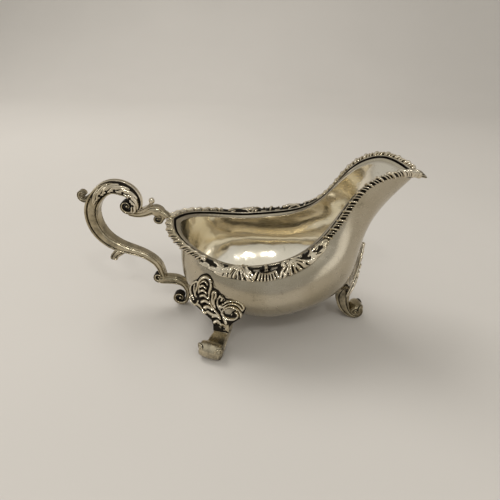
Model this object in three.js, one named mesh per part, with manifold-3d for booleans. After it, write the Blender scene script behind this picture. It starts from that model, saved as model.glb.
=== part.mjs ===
// Silver sauce boat: a raised oval bowl with a tall spout, a gadroon border
// with shell-and-leaf mounts, a leaf-capped double-scroll handle and three
// scroll-toed legs with leaf headers.
// Units are millimetres. +X points to the spout, -X to the handle, +Z is up,
// and the origin lies on the ground below the middle of the overall box.
import * as THREE from 'three';
import { LoftGeometry } from 'three/addons/geometries/LoftGeometry.js';
import { mergeVertices } from 'three/addons/utils/BufferGeometryUtils.js';
import Module from 'manifold-3d';

const wasm = await Module();
wasm.setup();
const V = (x, y, z) => new THREE.Vector3(x, y, z);

// ---------------------------------------------------------------- dimensions
const X_SHIFT = 1.24;        // moves the model so that its box is centred on X
const GAP = 0.32;            // clearance kept between two soldered pieces
const WALL = 1.3;            // thickness of the raised silver sheet
const AXIS_X = 15;           // X of the bowl's vertical centre line
const LIP_W = 4.0;           // width of the turned-out lip inside the border
const LIP_D = 1.8;           // drop of the lip's inner crease below its edge
const GAD_W = 4.7;           // width of the gadroon border
const GAD_H = 1.75;          // half height of the gadroon border
const GAD_PITCH = 4.3;       // spacing of the border's slanted lobes
const MOUNT_FROM = 5.75;     // rim stations at which a side mount starts
const MOUNT_TO = 12.45;      // and ends
const PAD_R = 2.6;           // radius of the flat under each toe

// Border line, from the handle (station 0) over one side to the spout tip
// (station 20): the lip's outer edge.
const RIM = [
  [-48.1, 0, 69.4], [-47.6, 2.6, 69.2], [-45.7, 9.5, 68], [-41.4, 17.5, 66.4], [-34.8, 24.3, 64.3],
  [-26.3, 30, 62], [-16.4, 34.4, 59.9], [-5.8, 37.2, 58.8], [5, 38.5, 59.2], [15.6, 38.2, 60.7],
  [25.8, 36.6, 63], [35.2, 33.9, 66.6], [43.4, 30.6, 71.8], [50.2, 27.1, 78.5], [55.7, 24.1, 86.4],
  [60.4, 21.9, 94.6], [65.3, 20.3, 101.7], [71.3, 19.2, 107.1], [79, 17.7, 110.6], [88.8, 13.2, 111.0],
  [99.6, 0, 106.7],
];
// Outer wall rings from the base up: reach to the handle side, to the spout
// side and to each flank, heights there, and the superellipse exponent.
const RINGS = [
  { a: 32, f: 31.6, b: 22.1, zh: 13.7, zs: 13.7, zf: 13.9, e: 2.0 },
  { a: 50.4, f: 47.6, b: 32.2, zh: 20.2, zs: 18.5, zf: 28.0, e: 2.05 },
  { a: 57.3, f: 55.6, b: 43.6, zh: 35.7, zs: 35.8, zf: 39.0, e: 2.1 },
  { a: 58.0, f: 60.6, b: 40.1, zh: 54, zs: 50, zf: 67.7, e: 2.1 },
];
const BASE_Z = 12.4;

const SILVER = { color: 0xcdc8bb, roughness: 0.28, metalness: 1.0 };
const SILVER_INNER = { color: 0xc9c0a6, roughness: 0.2, metalness: 1.0 };
const SILVER_CAST = { color: 0xb3ada0, roughness: 0.36, metalness: 1.0 };

const part = new THREE.Group();
part.name = 'sauce_boat';

// ------------------------------------------------------------------- helpers
function volumeOf(g) {
  const p = g.attributes.position, ix = g.index;
  const a = V(), b = V(), c = V();
  let v = 0;
  for (let i = 0; i < ix.count; i += 3) {
    a.fromBufferAttribute(p, ix.getX(i));
    b.fromBufferAttribute(p, ix.getX(i + 1));
    c.fromBufferAttribute(p, ix.getX(i + 2));
    v += a.dot(b.cross(c)) / 6;
  }
  return v;
}
function merged(g) {
  const h = new THREE.BufferGeometry();
  h.setAttribute('position', g.attributes.position);
  h.setIndex(g.index);
  return mergeVertices(h, 1e-4);
}
// Closed skin through a series of rings, ends capped, faces outward. A cap
// whose turn disagrees with the wall's is turned over, then the whole skin is
// turned if it faces inward.
function loft(sections) {
  const g = merged(new LoftGeometry(sections, { closed: true, capStart: true, capEnd: true }));
  const ix = g.index.array;
  const cols = sections[0].length;
  const wall = (sections.length - 1) * cols * 6, cap = (cols - 2) * 3;
  const used = new Set();
  const flip = (from, to) => {
    for (let i = from; i < to; i += 3) [ix[i + 1], ix[i + 2]] = [ix[i + 2], ix[i + 1]];
  };
  for (let i = 0; i < wall; i += 3) {
    for (let k = 0; k < 3; k++) used.add(ix[i + k] + '_' + ix[i + (k + 1) % 3]);
  }
  for (let c = 0; c < 2; c++) {
    const from = wall + c * cap, to = from + cap;
    let clash = false;
    for (let i = from; i < to; i += 3) {
      for (let k = 0; k < 3; k++) if (used.has(ix[i + k] + '_' + ix[i + (k + 1) % 3])) clash = true;
    }
    if (clash) flip(from, to);
  }
  if (volumeOf(g) < 0) flip(0, ix.length);
  return g;
}
function solid(g) {
  const m = merged(g);
  return new wasm.Manifold(new wasm.Mesh({
    numProp: 3,
    vertProperties: new Float32Array(m.attributes.position.array),
    triVerts: new Uint32Array(m.index.array),
  }));
}
function fromSolid(s) {
  const m = s.getMesh();
  const g = new THREE.BufferGeometry();
  g.setAttribute('position', new THREE.Float32BufferAttribute(Float32Array.from(m.vertProperties), 3));
  g.setIndex(Array.from(m.triVerts));
  return g;
}
function biggest(s) {
  const list = s.decompose();
  list.sort((p, q) => q.volume() - p.volume());
  return list[0];
}
function add(name, geometry, look) {
  const mesh = new THREE.Mesh(geometry, new THREE.MeshStandardMaterial(look));
  mesh.name = name;
  part.add(mesh);
  return mesh;
}
// A curved round-section rod whose centre line lies in an upright plane.
// pts: [x, z, half thickness in the plane, half thickness across it].
function rod(pts, steps, sides, place) {
  const pos = new THREE.CatmullRomCurve3(pts.map((p) => V(p[0], 0, p[1])), false, 'centripetal');
  const size = new THREE.CatmullRomCurve3(pts.map((p) => V(p[2], p[3], 0)), false, 'centripetal');
  const sections = [];
  for (let i = 0; i <= steps; i++) {
    const t = i / steps;
    const c = pos.getPoint(t), r = size.getPoint(t), d = pos.getTangent(t);
    const n = V(-d.z, 0, d.x);
    const ring = [];
    for (let j = 0; j < sides; j++) {
      const a = (j + 0.5) / sides * 2 * Math.PI;
      ring.push(place(c.x + n.x * Math.cos(a) * r.x, Math.sin(a) * r.y, c.z + n.z * Math.cos(a) * r.x));
    }
    sections.push(ring);
  }
  return loft(sections);
}
const inPlace = (x, y, z) => V(x, y, z);
// A drum lying across the plane: the boss of a volute.
function drum(x, z, r, half, place = inPlace, sides = 14) {
  const k = [[0.35, 1], [0.8, 0.94], [1, 0.72], [1, -0.72], [0.8, -0.94], [0.35, -1]];
  return loft(k.map(([s, w]) => {
    const ring = [];
    for (let j = 0; j < sides; j++) {
      const a = j / sides * 2 * Math.PI;
      ring.push(place(x + Math.cos(a) * r * s, w * half, z + Math.sin(a) * r * s));
    }
    return ring;
  }));
}
const join = (...gs) => fromSolid(gs.map(solid).reduce((a, b) => a.add(b)));

// ------------------------------------------------------------ the rim's curve
const loopPts = [];
for (let k = 0; k <= 20; k++) loopPts.push(V(...RIM[k]));
for (let k = 19; k >= 1; k--) loopPts.push(V(RIM[k][0], -RIM[k][1], RIM[k][2]));
const rimLoop = new THREE.CatmullRomCurve3(loopPts, true, 'centripetal');
// Station 0..20 runs along the far flank (+Y), 20..40 back along the near one.
function rimAt(station) {
  const t = (((station / 40) % 1) + 1) % 1;
  const p = rimLoop.getPoint(t);
  const d = rimLoop.getTangent(t);
  const n = V(-d.y, d.x, 0).normalize();
  return { p, n, d };
}
const offRim = (r, out, up) => V(r.p.x + r.n.x * out, r.p.y + r.n.y * out, r.p.z + up);

// ----------------------------------------------------------------- the bowl
function ringPoint(ring, theta, grow) {
  const c = Math.cos(theta), s = Math.sin(theta);
  const a = (c < 0 ? ring.a : ring.f) + grow, b = ring.b + grow;
  const r = Math.pow(Math.pow(Math.abs(c) / a, ring.e) + Math.pow(Math.abs(s) / b, ring.e), -1 / ring.e);
  const wf = Math.max(c, 0) ** 2, wh = Math.max(-c, 0) ** 2;
  return V(AXIS_X + r * c, r * s, ring.zs + (ring.zf - ring.zs) * wf + (ring.zh - ring.zs) * wh);
}
const STATIONS = [];
for (let k = 0; k < 40; k++) {
  STATIONS.push(k);
  if ([0, 19, 20, 39].includes(k)) STATIONS.push(k + 0.5);
}
function wallColumn(station, grow, topOut, topUp) {
  const r = rimAt(station);
  const crease = offRim(r, -LIP_W, -LIP_D);
  if (Math.abs(crease.y) < 1e-6) crease.y = 0;
  const theta = Math.atan2(crease.y, crease.x - AXIS_X);
  const pts = [V(AXIS_X - 1, 0, BASE_Z - grow)];
  for (const ring of RINGS) {
    const p = ringPoint(ring, theta, grow);
    p.z -= grow * (ring === RINGS[0] ? 1 : ring === RINGS[1] ? 0.6 : 0.15);
    pts.push(p);
  }
  pts.push(offRim(r, -LIP_W + topOut, -LIP_D + topUp));
  return new THREE.CatmullRomCurve3(pts, false, 'centripetal');
}
function wallRings(grow, topOut, topUp, ts) {
  const cols = STATIONS.map((s) => wallColumn(s, grow, topOut, topUp));
  return ts.map((t) => cols.map((c) => c.getPoint(t)));
}
const OUTER_T = [0.07, 0.2, 0.3, 0.4, 0.5, 0.6, 0.7, 0.8, 0.9];
const INNER_T = [0.9, 0.8, 0.68, 0.56, 0.44, 0.32, 0.2, 0.07];
function flatEnd(ring) {
  const z = ring.reduce((s, p) => s + p.z, 0) / ring.length;
  ring.forEach((p) => { p.z = z; });
  return ring;
}
function bowlBody() {
  const outer = wallRings(0, WALL * 0.9, -0.9, OUTER_T);
  flatEnd(outer[0]);
  const edge = STATIONS.map((s) => rimAt(s));
  const under = edge.map((r) => offRim(r, -LIP_W + WALL, -LIP_D - 1.15));
  const low = edge.map((r) => offRim(r, 0.25, -1.2));
  const top = edge.map((r) => offRim(r, 0.25, 0));
  const crease = edge.map((r) => offRim(r, -LIP_W, -LIP_D));
  const inner = wallRings(-WALL, -WALL * 0.1, -0.6, INNER_T);
  flatEnd(inner[inner.length - 1]);
  return loft([...outer, under, low, top, crease, ...inner]);
}
add('body_bowl', bowlBody(), SILVER);

// The bowl as a filled shape, grown by an amount, to trim what is fixed on it.
function bowlCutter(grow) {
  const outer = wallRings(grow, WALL * 0.9 + grow, -0.9, OUTER_T);
  flatEnd(outer[0]);
  const edge = STATIONS.map((s) => rimAt(s));
  return solid(loft([...outer,
    edge.map((r) => offRim(r, -LIP_W + WALL + grow, -LIP_D - 1.15)),
    edge.map((r) => offRim(r, 0.25 + grow, -1.2 - grow)),
    edge.map((r) => offRim(r, 0.25 + grow, 6)),
  ]));
}
const bowlKeepOut = bowlCutter(GAP);
const bowlKeepOutBase = solid((() => {
  const g = wallRings(GAP, WALL * 0.9 + GAP, -0.9, OUTER_T);
  flatEnd(g[0]);
  return loft(g);
})());

// ------------------------------------------------------- the gadroon border
// Slanted lobes: neighbouring sections swell and shrink, and each section's
// outer side trails its inner side.
function gadroon(from, to) {
  let len = 0;
  const fine = [];
  let prev = null;
  for (let i = 0; i <= 400; i++) {
    const s = from + (to - from) * i / 400;
    const q = offRim(rimAt(s), GAD_W / 2, 0);
    if (prev) len += q.distanceTo(prev);
    prev = q;
    fine.push([s, len]);
  }
  const at = (d) => {
    const e = Math.min(Math.max(d, 0), len);
    let i = 1;
    while (i < 400 && fine[i][1] < e) i++;
    const f = (e - fine[i - 1][1]) / Math.max(fine[i][1] - fine[i - 1][1], 1e-9);
    return fine[i - 1][0] + (fine[i][0] - fine[i - 1][0]) * f;
  };
  const n = Math.round(len / GAD_PITCH) * 2;
  const prof = [[-1, -0.35], [-0.72, 0.62], [-0.1, 1.0], [0.62, 0.72], [1, 0], [0.72, -0.75], [0, -1]];
  const sections = [];
  for (let i = 0; i <= n; i++) {
    const fat = i % 2 ? 1 : 0.8;
    sections.push(prof.map(([u, w]) => {
      const end = i === 0 || i === n ? 0 : 0.55 * u;
      const r = rimAt(at(len * i / n - end * Math.sign(to - from)));
      return offRim(r, 0.25 + GAP + GAD_W / 2 + u * GAD_W / 2 * (u > 0 ? fat : 1), -0.2 + w * GAD_H * fat);
    }));
  }
  return loft(sections);
}
add('gadroon_far_aft', gadroon(0.1, MOUNT_FROM - 0.05), SILVER_CAST);
add('gadroon_near_aft', gadroon(39.9, 40 - MOUNT_FROM + 0.05), SILVER_CAST);
add('gadroon_far_fore', gadroon(MOUNT_TO + 0.05, 19.8), SILVER_CAST);
add('gadroon_near_fore', gadroon(40 - MOUNT_TO - 0.05, 20.2), SILVER_CAST);

// ------------------------------------------------- shell-and-leaf side mounts
// A drooping cast spray: a fluted scallop in the middle, leaves to both ends.
function sideMount(flip) {
  const sections = [];
  const n = 44;
  for (let i = 0; i <= n; i++) {
    const f = i / n;
    const st = MOUNT_FROM + (MOUNT_TO - MOUNT_FROM) * f;
    const r = rimAt(flip ? 40 - st : st);
    const swell = Math.sin(Math.PI * Math.min(Math.max(f, 0.02), 0.98)) ** 0.6;
    const lobes = 0.5 + 0.5 * Math.cos(f * 22 * Math.PI);
    const hollow = Math.exp(-(((f - 0.41) / 0.028) ** 2)) + Math.exp(-(((f - 0.59) / 0.028) ** 2));
    const w = 4.4 + 5.2 * swell * (0.86 + 0.14 * lobes);
    const droop = 1.2 + 3.3 * swell;
    const crest = 1.3 + 0.9 * swell * (0.7 + 0.3 * lobes) - 1.1 * hollow;
    const x0 = 0.25 + GAP;
    sections.push([
      offRim(r, x0, -0.9), offRim(r, x0, 0.5), offRim(r, w * 0.36, crest),
      offRim(r, w * 0.72, crest * 0.35 - 0.4 * droop), offRim(r, w, -droop),
      offRim(r, w * 0.84, -droop - 0.9), offRim(r, w * 0.42, -1.9 - 0.25 * droop),
    ]);
  }
  return loft(sections);
}
add('shell_mount_far', sideMount(false), SILVER_CAST);
add('shell_mount_near', sideMount(true), SILVER_CAST);

// The pointed leaf that covers the border's meeting at the spout tip.
function spoutLeaf() {
  const tip = RIM[20];
  const rows = [[0.25 + GAP, 2.1, 0.9], [1.8, 2.9, 1.3], [3.6, 2.6, 1.2], [5.4, 1.4, 0.7], [7.0, 0.3, 0.25]];
  return loft(rows.map(([o, w, h], i) => {
    const z = tip[2] - 0.1 - 0.16 * o - (i === 4 ? 0.5 : 0);
    const x = tip[0] + o;
    return [V(x, -w, z - h * 0.4), V(x, -w * 0.6, z + h * 0.6), V(x, 0, z + h), V(x, w * 0.6, z + h * 0.6),
      V(x, w, z - h * 0.4), V(x, w * 0.5, z - h), V(x, -w * 0.5, z - h)];
  }));
}
add('spout_tip_leaf', spoutLeaf(), SILVER_CAST);

// ---------------------------------------------------------------- the handle
const MAIN = [ // centre line from the upper volute over the top and down
  [-73.3, 77.6, 2.0, 2.6], [-72.9, 81.2, 2.7, 3.1], [-74.6, 85.4, 3.3, 3.4], [-79.2, 88.6, 3.7, 3.6],
  [-85.2, 89.8, 3.9, 3.7], [-91.4, 87.4, 4.1, 3.8], [-97.2, 82.0, 4.3, 3.9], [-100.8, 75.2, 4.5, 4.0],
  [-101.6, 68.2, 4.6, 4.0], [-100.3, 61.4, 4.6, 3.9], [-96.8, 54.9, 4.4, 3.8], [-91.2, 49.7, 4.1, 3.6],
  [-84.6, 46.4, 3.4, 3.3], [-77.4, 44.3, 2.8, 3.0], [-70.3, 41.9, 2.5, 2.8], [-64.3, 38.1, 2.4, 2.7],
  [-60.4, 32.8, 2.3, 2.6], [-59.4, 27.2, 2.1, 2.5],
];
add('handle_scroll', join(rod(MAIN, 56, 10, inPlace),
  drum(-76.2, 77.4, 3.9, 3.7), drum(-61.0, 24.6, 3.6, 3.3)), SILVER);

// The acanthus cap that wraps the outer face of the upper scroll.
function leafCap() {
  const line = [ // x, z, spread across, of the scroll's centre line
    [-97.9, 80.9, 0.75], [-93.0, 86.2, 0.92], [-86.6, 89.7, 1.0], [-79.8, 88.9, 1.05], [-74.8, 85.7, 1.1],
    [-72.6, 80.9, 0.95], [-73.0, 77.4, 0.6],
  ];
  const core = [4.35, 4.15, 3.95, 3.75, 3.4, 2.75, 2.3];
  const thick = [1.0, 1.5, 1.9, 2.5, 3.0, 3.1, 1.6];
  const pos = new THREE.CatmullRomCurve3(line.map((p) => V(p[0], p[2], p[1])), false, 'centripetal');
  const cor = new THREE.CatmullRomCurve3(core.map((c, i) => V(c, thick[i], i)), false, 'centripetal');
  const sections = [];
  const n = 22;
  for (let i = 0; i <= n; i++) {
    const t = i / n;
    const p = pos.getPoint(t), d = pos.getTangent(t), k = cor.getPoint(t);
    const len = Math.hypot(d.x, d.z);
    const nx = -d.z / len, nz = d.x / len;      // outward, away from the loop
    const ribs = 1 + 0.1 * Math.cos(t * 14 * Math.PI);
    const ring = [];
    const span = 1.25 * p.y;
    for (let j = 0; j <= 4; j++) {
      const a = -span + 2 * span * j / 4;
      const r = k.x + GAP + 0.1 + k.y * ribs * (1 - 0.35 * Math.abs(a / span));
      ring.push(V(p.x + nx * Math.cos(a) * r, Math.sin(a) * r * 0.95, p.z + nz * Math.cos(a) * r));
    }
    for (let j = 4; j >= 0; j--) {
      const a = -span + 2 * span * j / 4;
      const r = k.x + GAP + 0.1;
      ring.push(V(p.x + nx * Math.cos(a) * r, Math.sin(a) * r * 0.95, p.z + nz * Math.cos(a) * r));
    }
    sections.push(ring);
  }
  return loft(sections);
}
const scrollKeepOut = solid(join(rod(MAIN.map((p) => [p[0], p[1], p[2] + GAP, p[3] + GAP]), 56, 10, inPlace),
  drum(-76.2, 77.4, 3.9 + GAP, 3.7 + GAP), drum(-61.0, 24.6, 3.6 + GAP, 3.3 + GAP)));
const capSolid = biggest(solid(leafCap()).subtract(scrollKeepOut));
add('handle_leaf_cap', fromSolid(capSolid), SILVER_CAST);
const capKeepOut = solid(leafCap());

// Curled thumb spur at the cap's root.
const thumb = solid(rod([[-100.9, 82.6, 1.5, 2.4], [-103.4, 80.9, 1.5, 2.3], [-106.2, 80.6, 1.3, 2.2], [-107.9, 82.4, 1.2, 2.0],
  [-107.6, 84.9, 1.1, 1.8], [-105.6, 85.6, 0.8, 1.4]], 16, 8, inPlace));
add('handle_thumb_spur', fromSolid(biggest(thumb.subtract(scrollKeepOut)
  .subtract(solid(rod([[-100.2, 83.3, 1.0, 7], [-96.5, 86.2, 1.9, 7]], 4, 8, inPlace))))), SILVER_CAST);

// Curled spur under the lower run.
const lower = solid(rod([[-86.2, 42.6, 1.4, 2.3], [-88.8, 41.2, 1.6, 2.3], [-91.4, 39.4, 1.6, 2.2], [-92.9, 37.4, 1.2, 1.9]], 10, 8, inPlace));
add('handle_lower_spur', fromSolid(biggest(lower.subtract(scrollKeepOut))), SILVER_CAST);

// Upper bracket from the volute to the rim, with the small volute under it.
const upperBracket = solid(join(
  rod([[-74.3, 72.5, 1.7, 2.3], [-70.6, 72.3, 2.0, 2.5], [-65.4, 73.4, 2.1, 2.6], [-61.2, 75.2, 2.2, 2.7],
    [-58.2, 75.6, 2.3, 2.8], [-55.9, 73.9, 2.3, 2.8], [-54.3, 71.3, 2.1, 2.7]], 20, 10, inPlace),
  drum(-57.7, 69.3, 2.6, 2.5)));
const rimKeepOut = solid(gadroonKeepOut());
function gadroonKeepOut() {
  const sections = [];
  for (let i = -8; i <= 8; i++) {
    const r = rimAt(i * 0.25);
    sections.push([[-0.3, -4], [-0.3, 6], [GAD_W + 0.25 + 2 * GAP + 0.15, 6], [GAD_W + 0.25 + 2 * GAP + 0.15, -4]]
      .map(([o, u]) => offRim(r, o, u)));
  }
  return loft(sections);
}
add('handle_upper_bracket', fromSolid(biggest(upperBracket.subtract(rimKeepOut).subtract(scrollKeepOut).subtract(capKeepOut))), SILVER);

// Curled bud standing on the upper bracket.
const bud = solid(join(
  rod([[-68.4, 75.0, 1.2, 2.2], [-65.3, 76.6, 1.5, 2.4], [-62.4, 78.6, 1.4, 2.2], [-61.0, 80.8, 1.2, 1.9]], 10, 8, inPlace),
  drum(-60.8, 81.2, 1.9, 2.1, inPlace, 10)));
const bracketGrown = solid(rod([[-74.3, 72.5, 1.7, 2.3], [-70.6, 72.3, 2.0, 2.5], [-65.4, 73.4, 2.1, 2.6], [-61.2, 75.2, 2.2, 2.7],
  [-58.2, 75.6, 2.3, 2.8], [-55.9, 73.9, 2.3, 2.8], [-54.3, 71.3, 2.1, 2.7]].map((p) => [p[0], p[1], p[2] + GAP, p[3] + 6]), 20, 10, inPlace));
add('handle_bracket_bud', fromSolid(biggest(bud.subtract(bracketGrown).subtract(scrollKeepOut).subtract(capKeepOut))), SILVER_CAST);

// Lower bracket: a bar to the bowl that turns down into a hanging volute.
const lowerBracket = solid(join(
  rod([[-61.0, 22.0, 2.0, 2.4], [-56.6, 22.0, 2.2, 2.5], [-52.2, 22.2, 2.3, 2.6], [-47.9, 21.6, 2.3, 2.6], [-44.7, 18.8, 2.2, 2.6],
    [-43.4, 14.4, 2.0, 2.5], [-43.8, 10.0, 1.8, 2.4]], 18, 10, inPlace),
  drum(-47.0, 7.6, 3.6, 3.1)));
add('handle_lower_bracket', fromSolid(biggest(lowerBracket.subtract(bowlKeepOutBase).subtract(scrollKeepOut))), SILVER);

// ------------------------------------------------------------------ the legs
// Each leg has its own frame: s outward, t sideways, z up, origin at the toe.
function frameOf(cx, cy, deg) {
  const a = deg * Math.PI / 180;
  return (s, t, z) => V(cx + s * Math.cos(a) - t * Math.sin(a), cy + s * Math.sin(a) + t * Math.cos(a), z);
}
function leg(place, lean) {
  // [s, z, half thickness, half width, sideways shift]
  const line = [
    [-7.6, 18.3, 3.6, 3.9, 1], [-8.3, 14.2, 3.9, 4.0, 0.75], [-7.4, 10.2, 3.7, 4.2, 0.45], [-4.9, 6.6, 3.4, 4.7, 0.2], [-1.6, 4.2, 3.3, 5.2, 0],
  ];
  const pos = new THREE.CatmullRomCurve3(line.map((p) => V(p[0], p[4] * lean, p[1])), false, 'centripetal');
  const size = new THREE.CatmullRomCurve3(line.map((p) => V(p[2], p[3], 0)), false, 'centripetal');
  const sections = [];
  for (let i = 0; i <= 12; i++) {
    const t = i / 12;
    const c = pos.getPoint(t), r = size.getPoint(t), d = pos.getTangent(t);
    const l = Math.hypot(d.x, d.z);
    const ring = [];
    for (let j = 0; j < 10; j++) {
      const a = (j + 0.5) / 10 * 2 * Math.PI;
      ring.push(place(c.x - d.z / l * Math.cos(a) * r.x, c.y + Math.sin(a) * r.y, c.z + d.x / l * Math.cos(a) * r.x));
    }
    sections.push(ring);
  }
  const strut = solid(loft(sections));
  const roll = solid(drum(0.2, 6.2, 6.2, 6.3, place, 16));
  const pad = solid(loft([[0, PAD_R], [1.6, PAD_R + 0.9]].map(([z, r]) => {
    const ring = [];
    for (let j = 0; j < 12; j++) {
      const a = j / 12 * 2 * Math.PI;
      ring.push(place(Math.cos(a) * r, Math.sin(a) * r, z));
    }
    return ring;
  })));
  const big = 60;
  const above = solid(loft([[0, 1], [18.9, 1]].map(([z]) => [place(-big, -big, z), place(big, -big, z), place(big, big, z), place(-big, big, z)])));
  return strut.add(roll).add(pad).intersect(above);
}
function header(place, rows, bend) {
  // rows: [z, s, t low, t high, thickness]
  const sections = rows.map(([z, s, t0, t1, th]) => {
    const ring = [];
    const at = (f, d) => {
      const t = t0 + (t1 - t0) * f;
      return place(s - t * t / bend + d, t, z);
    };
    for (const f of [0, 0.12, 0.35, 0.5, 0.65, 0.88, 1]) ring.push(at(f, (f === 0 || f === 1 ? 0.35 : 1) * th));
    for (const f of [1, 0.75, 0.5, 0.25, 0]) ring.push(at(f, -2.3));
    return ring;
  });
  return solid(loft(sections));
}
const REAR_ROWS = [
  [19.25, -5.6, -3, 7.4, 1.0], [22, -6.2, -6, 9.2, 1.3], [25, -7.0, -12, 12.4, 1.5], [28.5, -8.6, -17.5, 15.8, 1.6],
  [33, -10.2, -20, 17.6, 1.7], [37.5, -11.3, -19.8, 16.9, 1.7], [41, -12.1, -15.5, 12.5, 1.7], [44, -12.8, -12.8, 6.0, 1.7],
  [47, -13.7, -11.4, 0.2, 1.6], [49.6, -14.7, -9.6, -3.2, 1.2], [51, -15.3, -8, -5, 0.8],
];
const FRONT_ROWS = [
  [19.25, -7.0, -4.6, 4.6, 1.0], [22, -7.2, -7.5, 7.5, 1.2], [25, -6.6, -12, 12, 1.3], [28.5, -5.4, -16, 16, 1.4],
  [33, -4.2, -17.5, 17.5, 1.4], [38, -3.4, -16.5, 16.5, 1.4], [43, -3.0, -12, 12, 1.4], [48, -2.6, -8, 8, 1.3],
  [53, -2.2, -5.2, 5.2, 1.2], [57, -1.7, -3, 3, 0.9], [58.6, -1.5, -1.4, 1.4, 0.6],
];
const LEGS = [
  { name: 'spout', cx: 78.5, cy: 0, deg: 0, lean: 0, rows: FRONT_ROWS, bend: 60, mirror: false },
  { name: 'near', cx: -17.4, cy: -50.6, deg: 255, lean: 3, rows: REAR_ROWS, bend: 92, mirror: false },
  { name: 'far', cx: -17.4, cy: 50.6, deg: 105, lean: -3, rows: REAR_ROWS, bend: 92, mirror: true },
];
for (const L of LEGS) {
  const place = frameOf(L.cx, L.cy, L.deg);
  add(`foot_${L.name}`, fromSolid(biggest(leg(place, L.lean).subtract(bowlKeepOutBase))), SILVER_CAST);
  const rows = L.mirror ? L.rows.map(([z, s, a, b, th]) => [z, s, -b, -a, th]) : L.rows;
  add(`header_${L.name}`, fromSolid(biggest(header(place, rows, L.bend).subtract(bowlKeepOut))), SILVER_CAST);
}

part.position.x = X_SHIFT;
part.updateMatrixWorld(true);
export default part;
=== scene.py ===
import bpy
import math
import numpy as np
from mathutils import Matrix, Vector


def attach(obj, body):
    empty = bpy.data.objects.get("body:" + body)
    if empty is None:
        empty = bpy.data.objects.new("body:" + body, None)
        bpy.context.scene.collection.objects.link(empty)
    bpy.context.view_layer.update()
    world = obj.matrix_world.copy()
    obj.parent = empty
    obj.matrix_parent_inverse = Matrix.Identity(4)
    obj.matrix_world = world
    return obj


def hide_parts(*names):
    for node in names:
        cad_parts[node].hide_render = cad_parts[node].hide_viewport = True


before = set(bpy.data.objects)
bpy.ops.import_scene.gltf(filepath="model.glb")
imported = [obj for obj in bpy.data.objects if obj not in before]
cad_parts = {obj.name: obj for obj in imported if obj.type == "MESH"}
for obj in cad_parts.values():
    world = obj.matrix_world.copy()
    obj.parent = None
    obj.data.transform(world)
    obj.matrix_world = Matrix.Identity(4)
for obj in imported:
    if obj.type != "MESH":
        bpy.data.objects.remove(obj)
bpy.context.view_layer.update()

# ------------------------------------------------------------------ geometry
# All shapes are worked out in millimetres in the CAD's frame before its small
# shift along X, and turned into metres when a mesh is made.
X_SHIFT = 1.24
AXIS_X = 15.0
RIM = np.array([
    [-48.1, 0, 69.4], [-47.6, 2.6, 69.2], [-45.7, 9.5, 68], [-41.4, 17.5, 66.4], [-34.8, 24.3, 64.3],
    [-26.3, 30, 62], [-16.4, 34.4, 59.9], [-5.8, 37.2, 58.8], [5, 38.5, 59.2], [15.6, 38.2, 60.7],
    [25.8, 36.6, 63], [35.2, 33.9, 66.6], [43.4, 30.6, 71.8], [50.2, 27.1, 78.5], [55.7, 24.1, 86.4],
    [60.4, 21.9, 94.6], [65.3, 20.3, 101.7], [71.3, 19.2, 107.1], [79, 17.7, 110.6], [88.8, 13.2, 111.0],
    [99.6, 0, 106.7]])
# a (to handle), f (to spout), b (flank), z at handle, flank, spout, exponent
RINGS = [
    (32.0, 31.6, 22.1, 13.7, 13.7, 13.9, 2.0),
    (50.4, 47.6, 32.2, 20.2, 18.5, 28.0, 2.05),
    (57.3, 55.6, 43.6, 35.7, 35.8, 39.0, 2.1),
    (58.0, 60.6, 40.1, 54.0, 50.0, 67.7, 2.1),
]
BASE_Z = 12.4
WALL = 1.3


def periodic_spline(P):
    """C2 closed curve through P; returns f(t, derivative) with t in stations."""
    n = len(P)
    Q = np.vstack([P, P[:1]])
    h = np.linalg.norm(np.diff(Q, axis=0), axis=1) ** 0.6
    A = np.zeros((n, n))
    r = np.zeros((n, 3))
    for i in range(n):
        hm, hp = h[(i - 1) % n], h[i]
        A[i, (i - 1) % n] += hm
        A[i, i] += 2 * (hm + hp)
        A[i, (i + 1) % n] += hp
        r[i] = 6 * ((Q[i + 1] - Q[i]) / hp - (Q[i] - P[(i - 1) % n]) / hm)
    M = np.linalg.solve(A, r)

    def f(t, d=0):
        t = np.asarray(t, float) % n
        i = np.minimum(t.astype(int), n - 1)
        x = (t - i)[:, None]
        hh = h[i][:, None]
        P0, P1 = P[i], P[(i + 1) % n]
        M0, M1 = M[i], M[(i + 1) % n]
        b, a = x * hh, (1 - x) * hh
        if d == 0:
            return (M0 * a ** 3 + M1 * b ** 3) / (6 * hh) + (P0 / hh - M0 * hh / 6) * a + (P1 / hh - M1 * hh / 6) * b
        return (-M0 * a ** 2 + M1 * b ** 2) / (2 * hh) + (P1 - P0) / hh - (M1 - M0) * hh / 6
    return f


_loop = np.vstack([RIM, (RIM * [1, -1, 1])[19:0:-1]])
rim_curve = periodic_spline(_loop)


def rim_at(st):
    """Lip edge point and outward plan normal at stations 0..40."""
    st = np.atleast_1d(np.asarray(st, float))
    p = rim_curve(st)
    d = rim_curve(st, 1)
    n = np.stack([-d[:, 1], d[:, 0], 0 * d[:, 0]], 1)
    n /= np.linalg.norm(n, axis=1)[:, None]
    return p, n


def off_rim(st, out, up):
    p, n = rim_at(st)
    q = p + n * np.atleast_1d(out)[:, None]
    q[:, 2] += up
    return q


def arc_table(f, t0, t1, n=4000):
    t = np.linspace(t0, t1, n)
    P = f(t)
    s = np.r_[0, np.cumsum(np.linalg.norm(np.diff(P, axis=0), axis=1))]
    return t, s


def lip_width(st):
    """Width of the concave lip between the border and the bowl wall."""
    k = np.minimum(np.asarray(st, float) % 40, 40 - np.asarray(st, float) % 40)
    x = np.clip((k - 12.0) / 5.0, 0, 1)
    return 2.9 - 1.5 * x * x * (3 - 2 * x)


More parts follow.
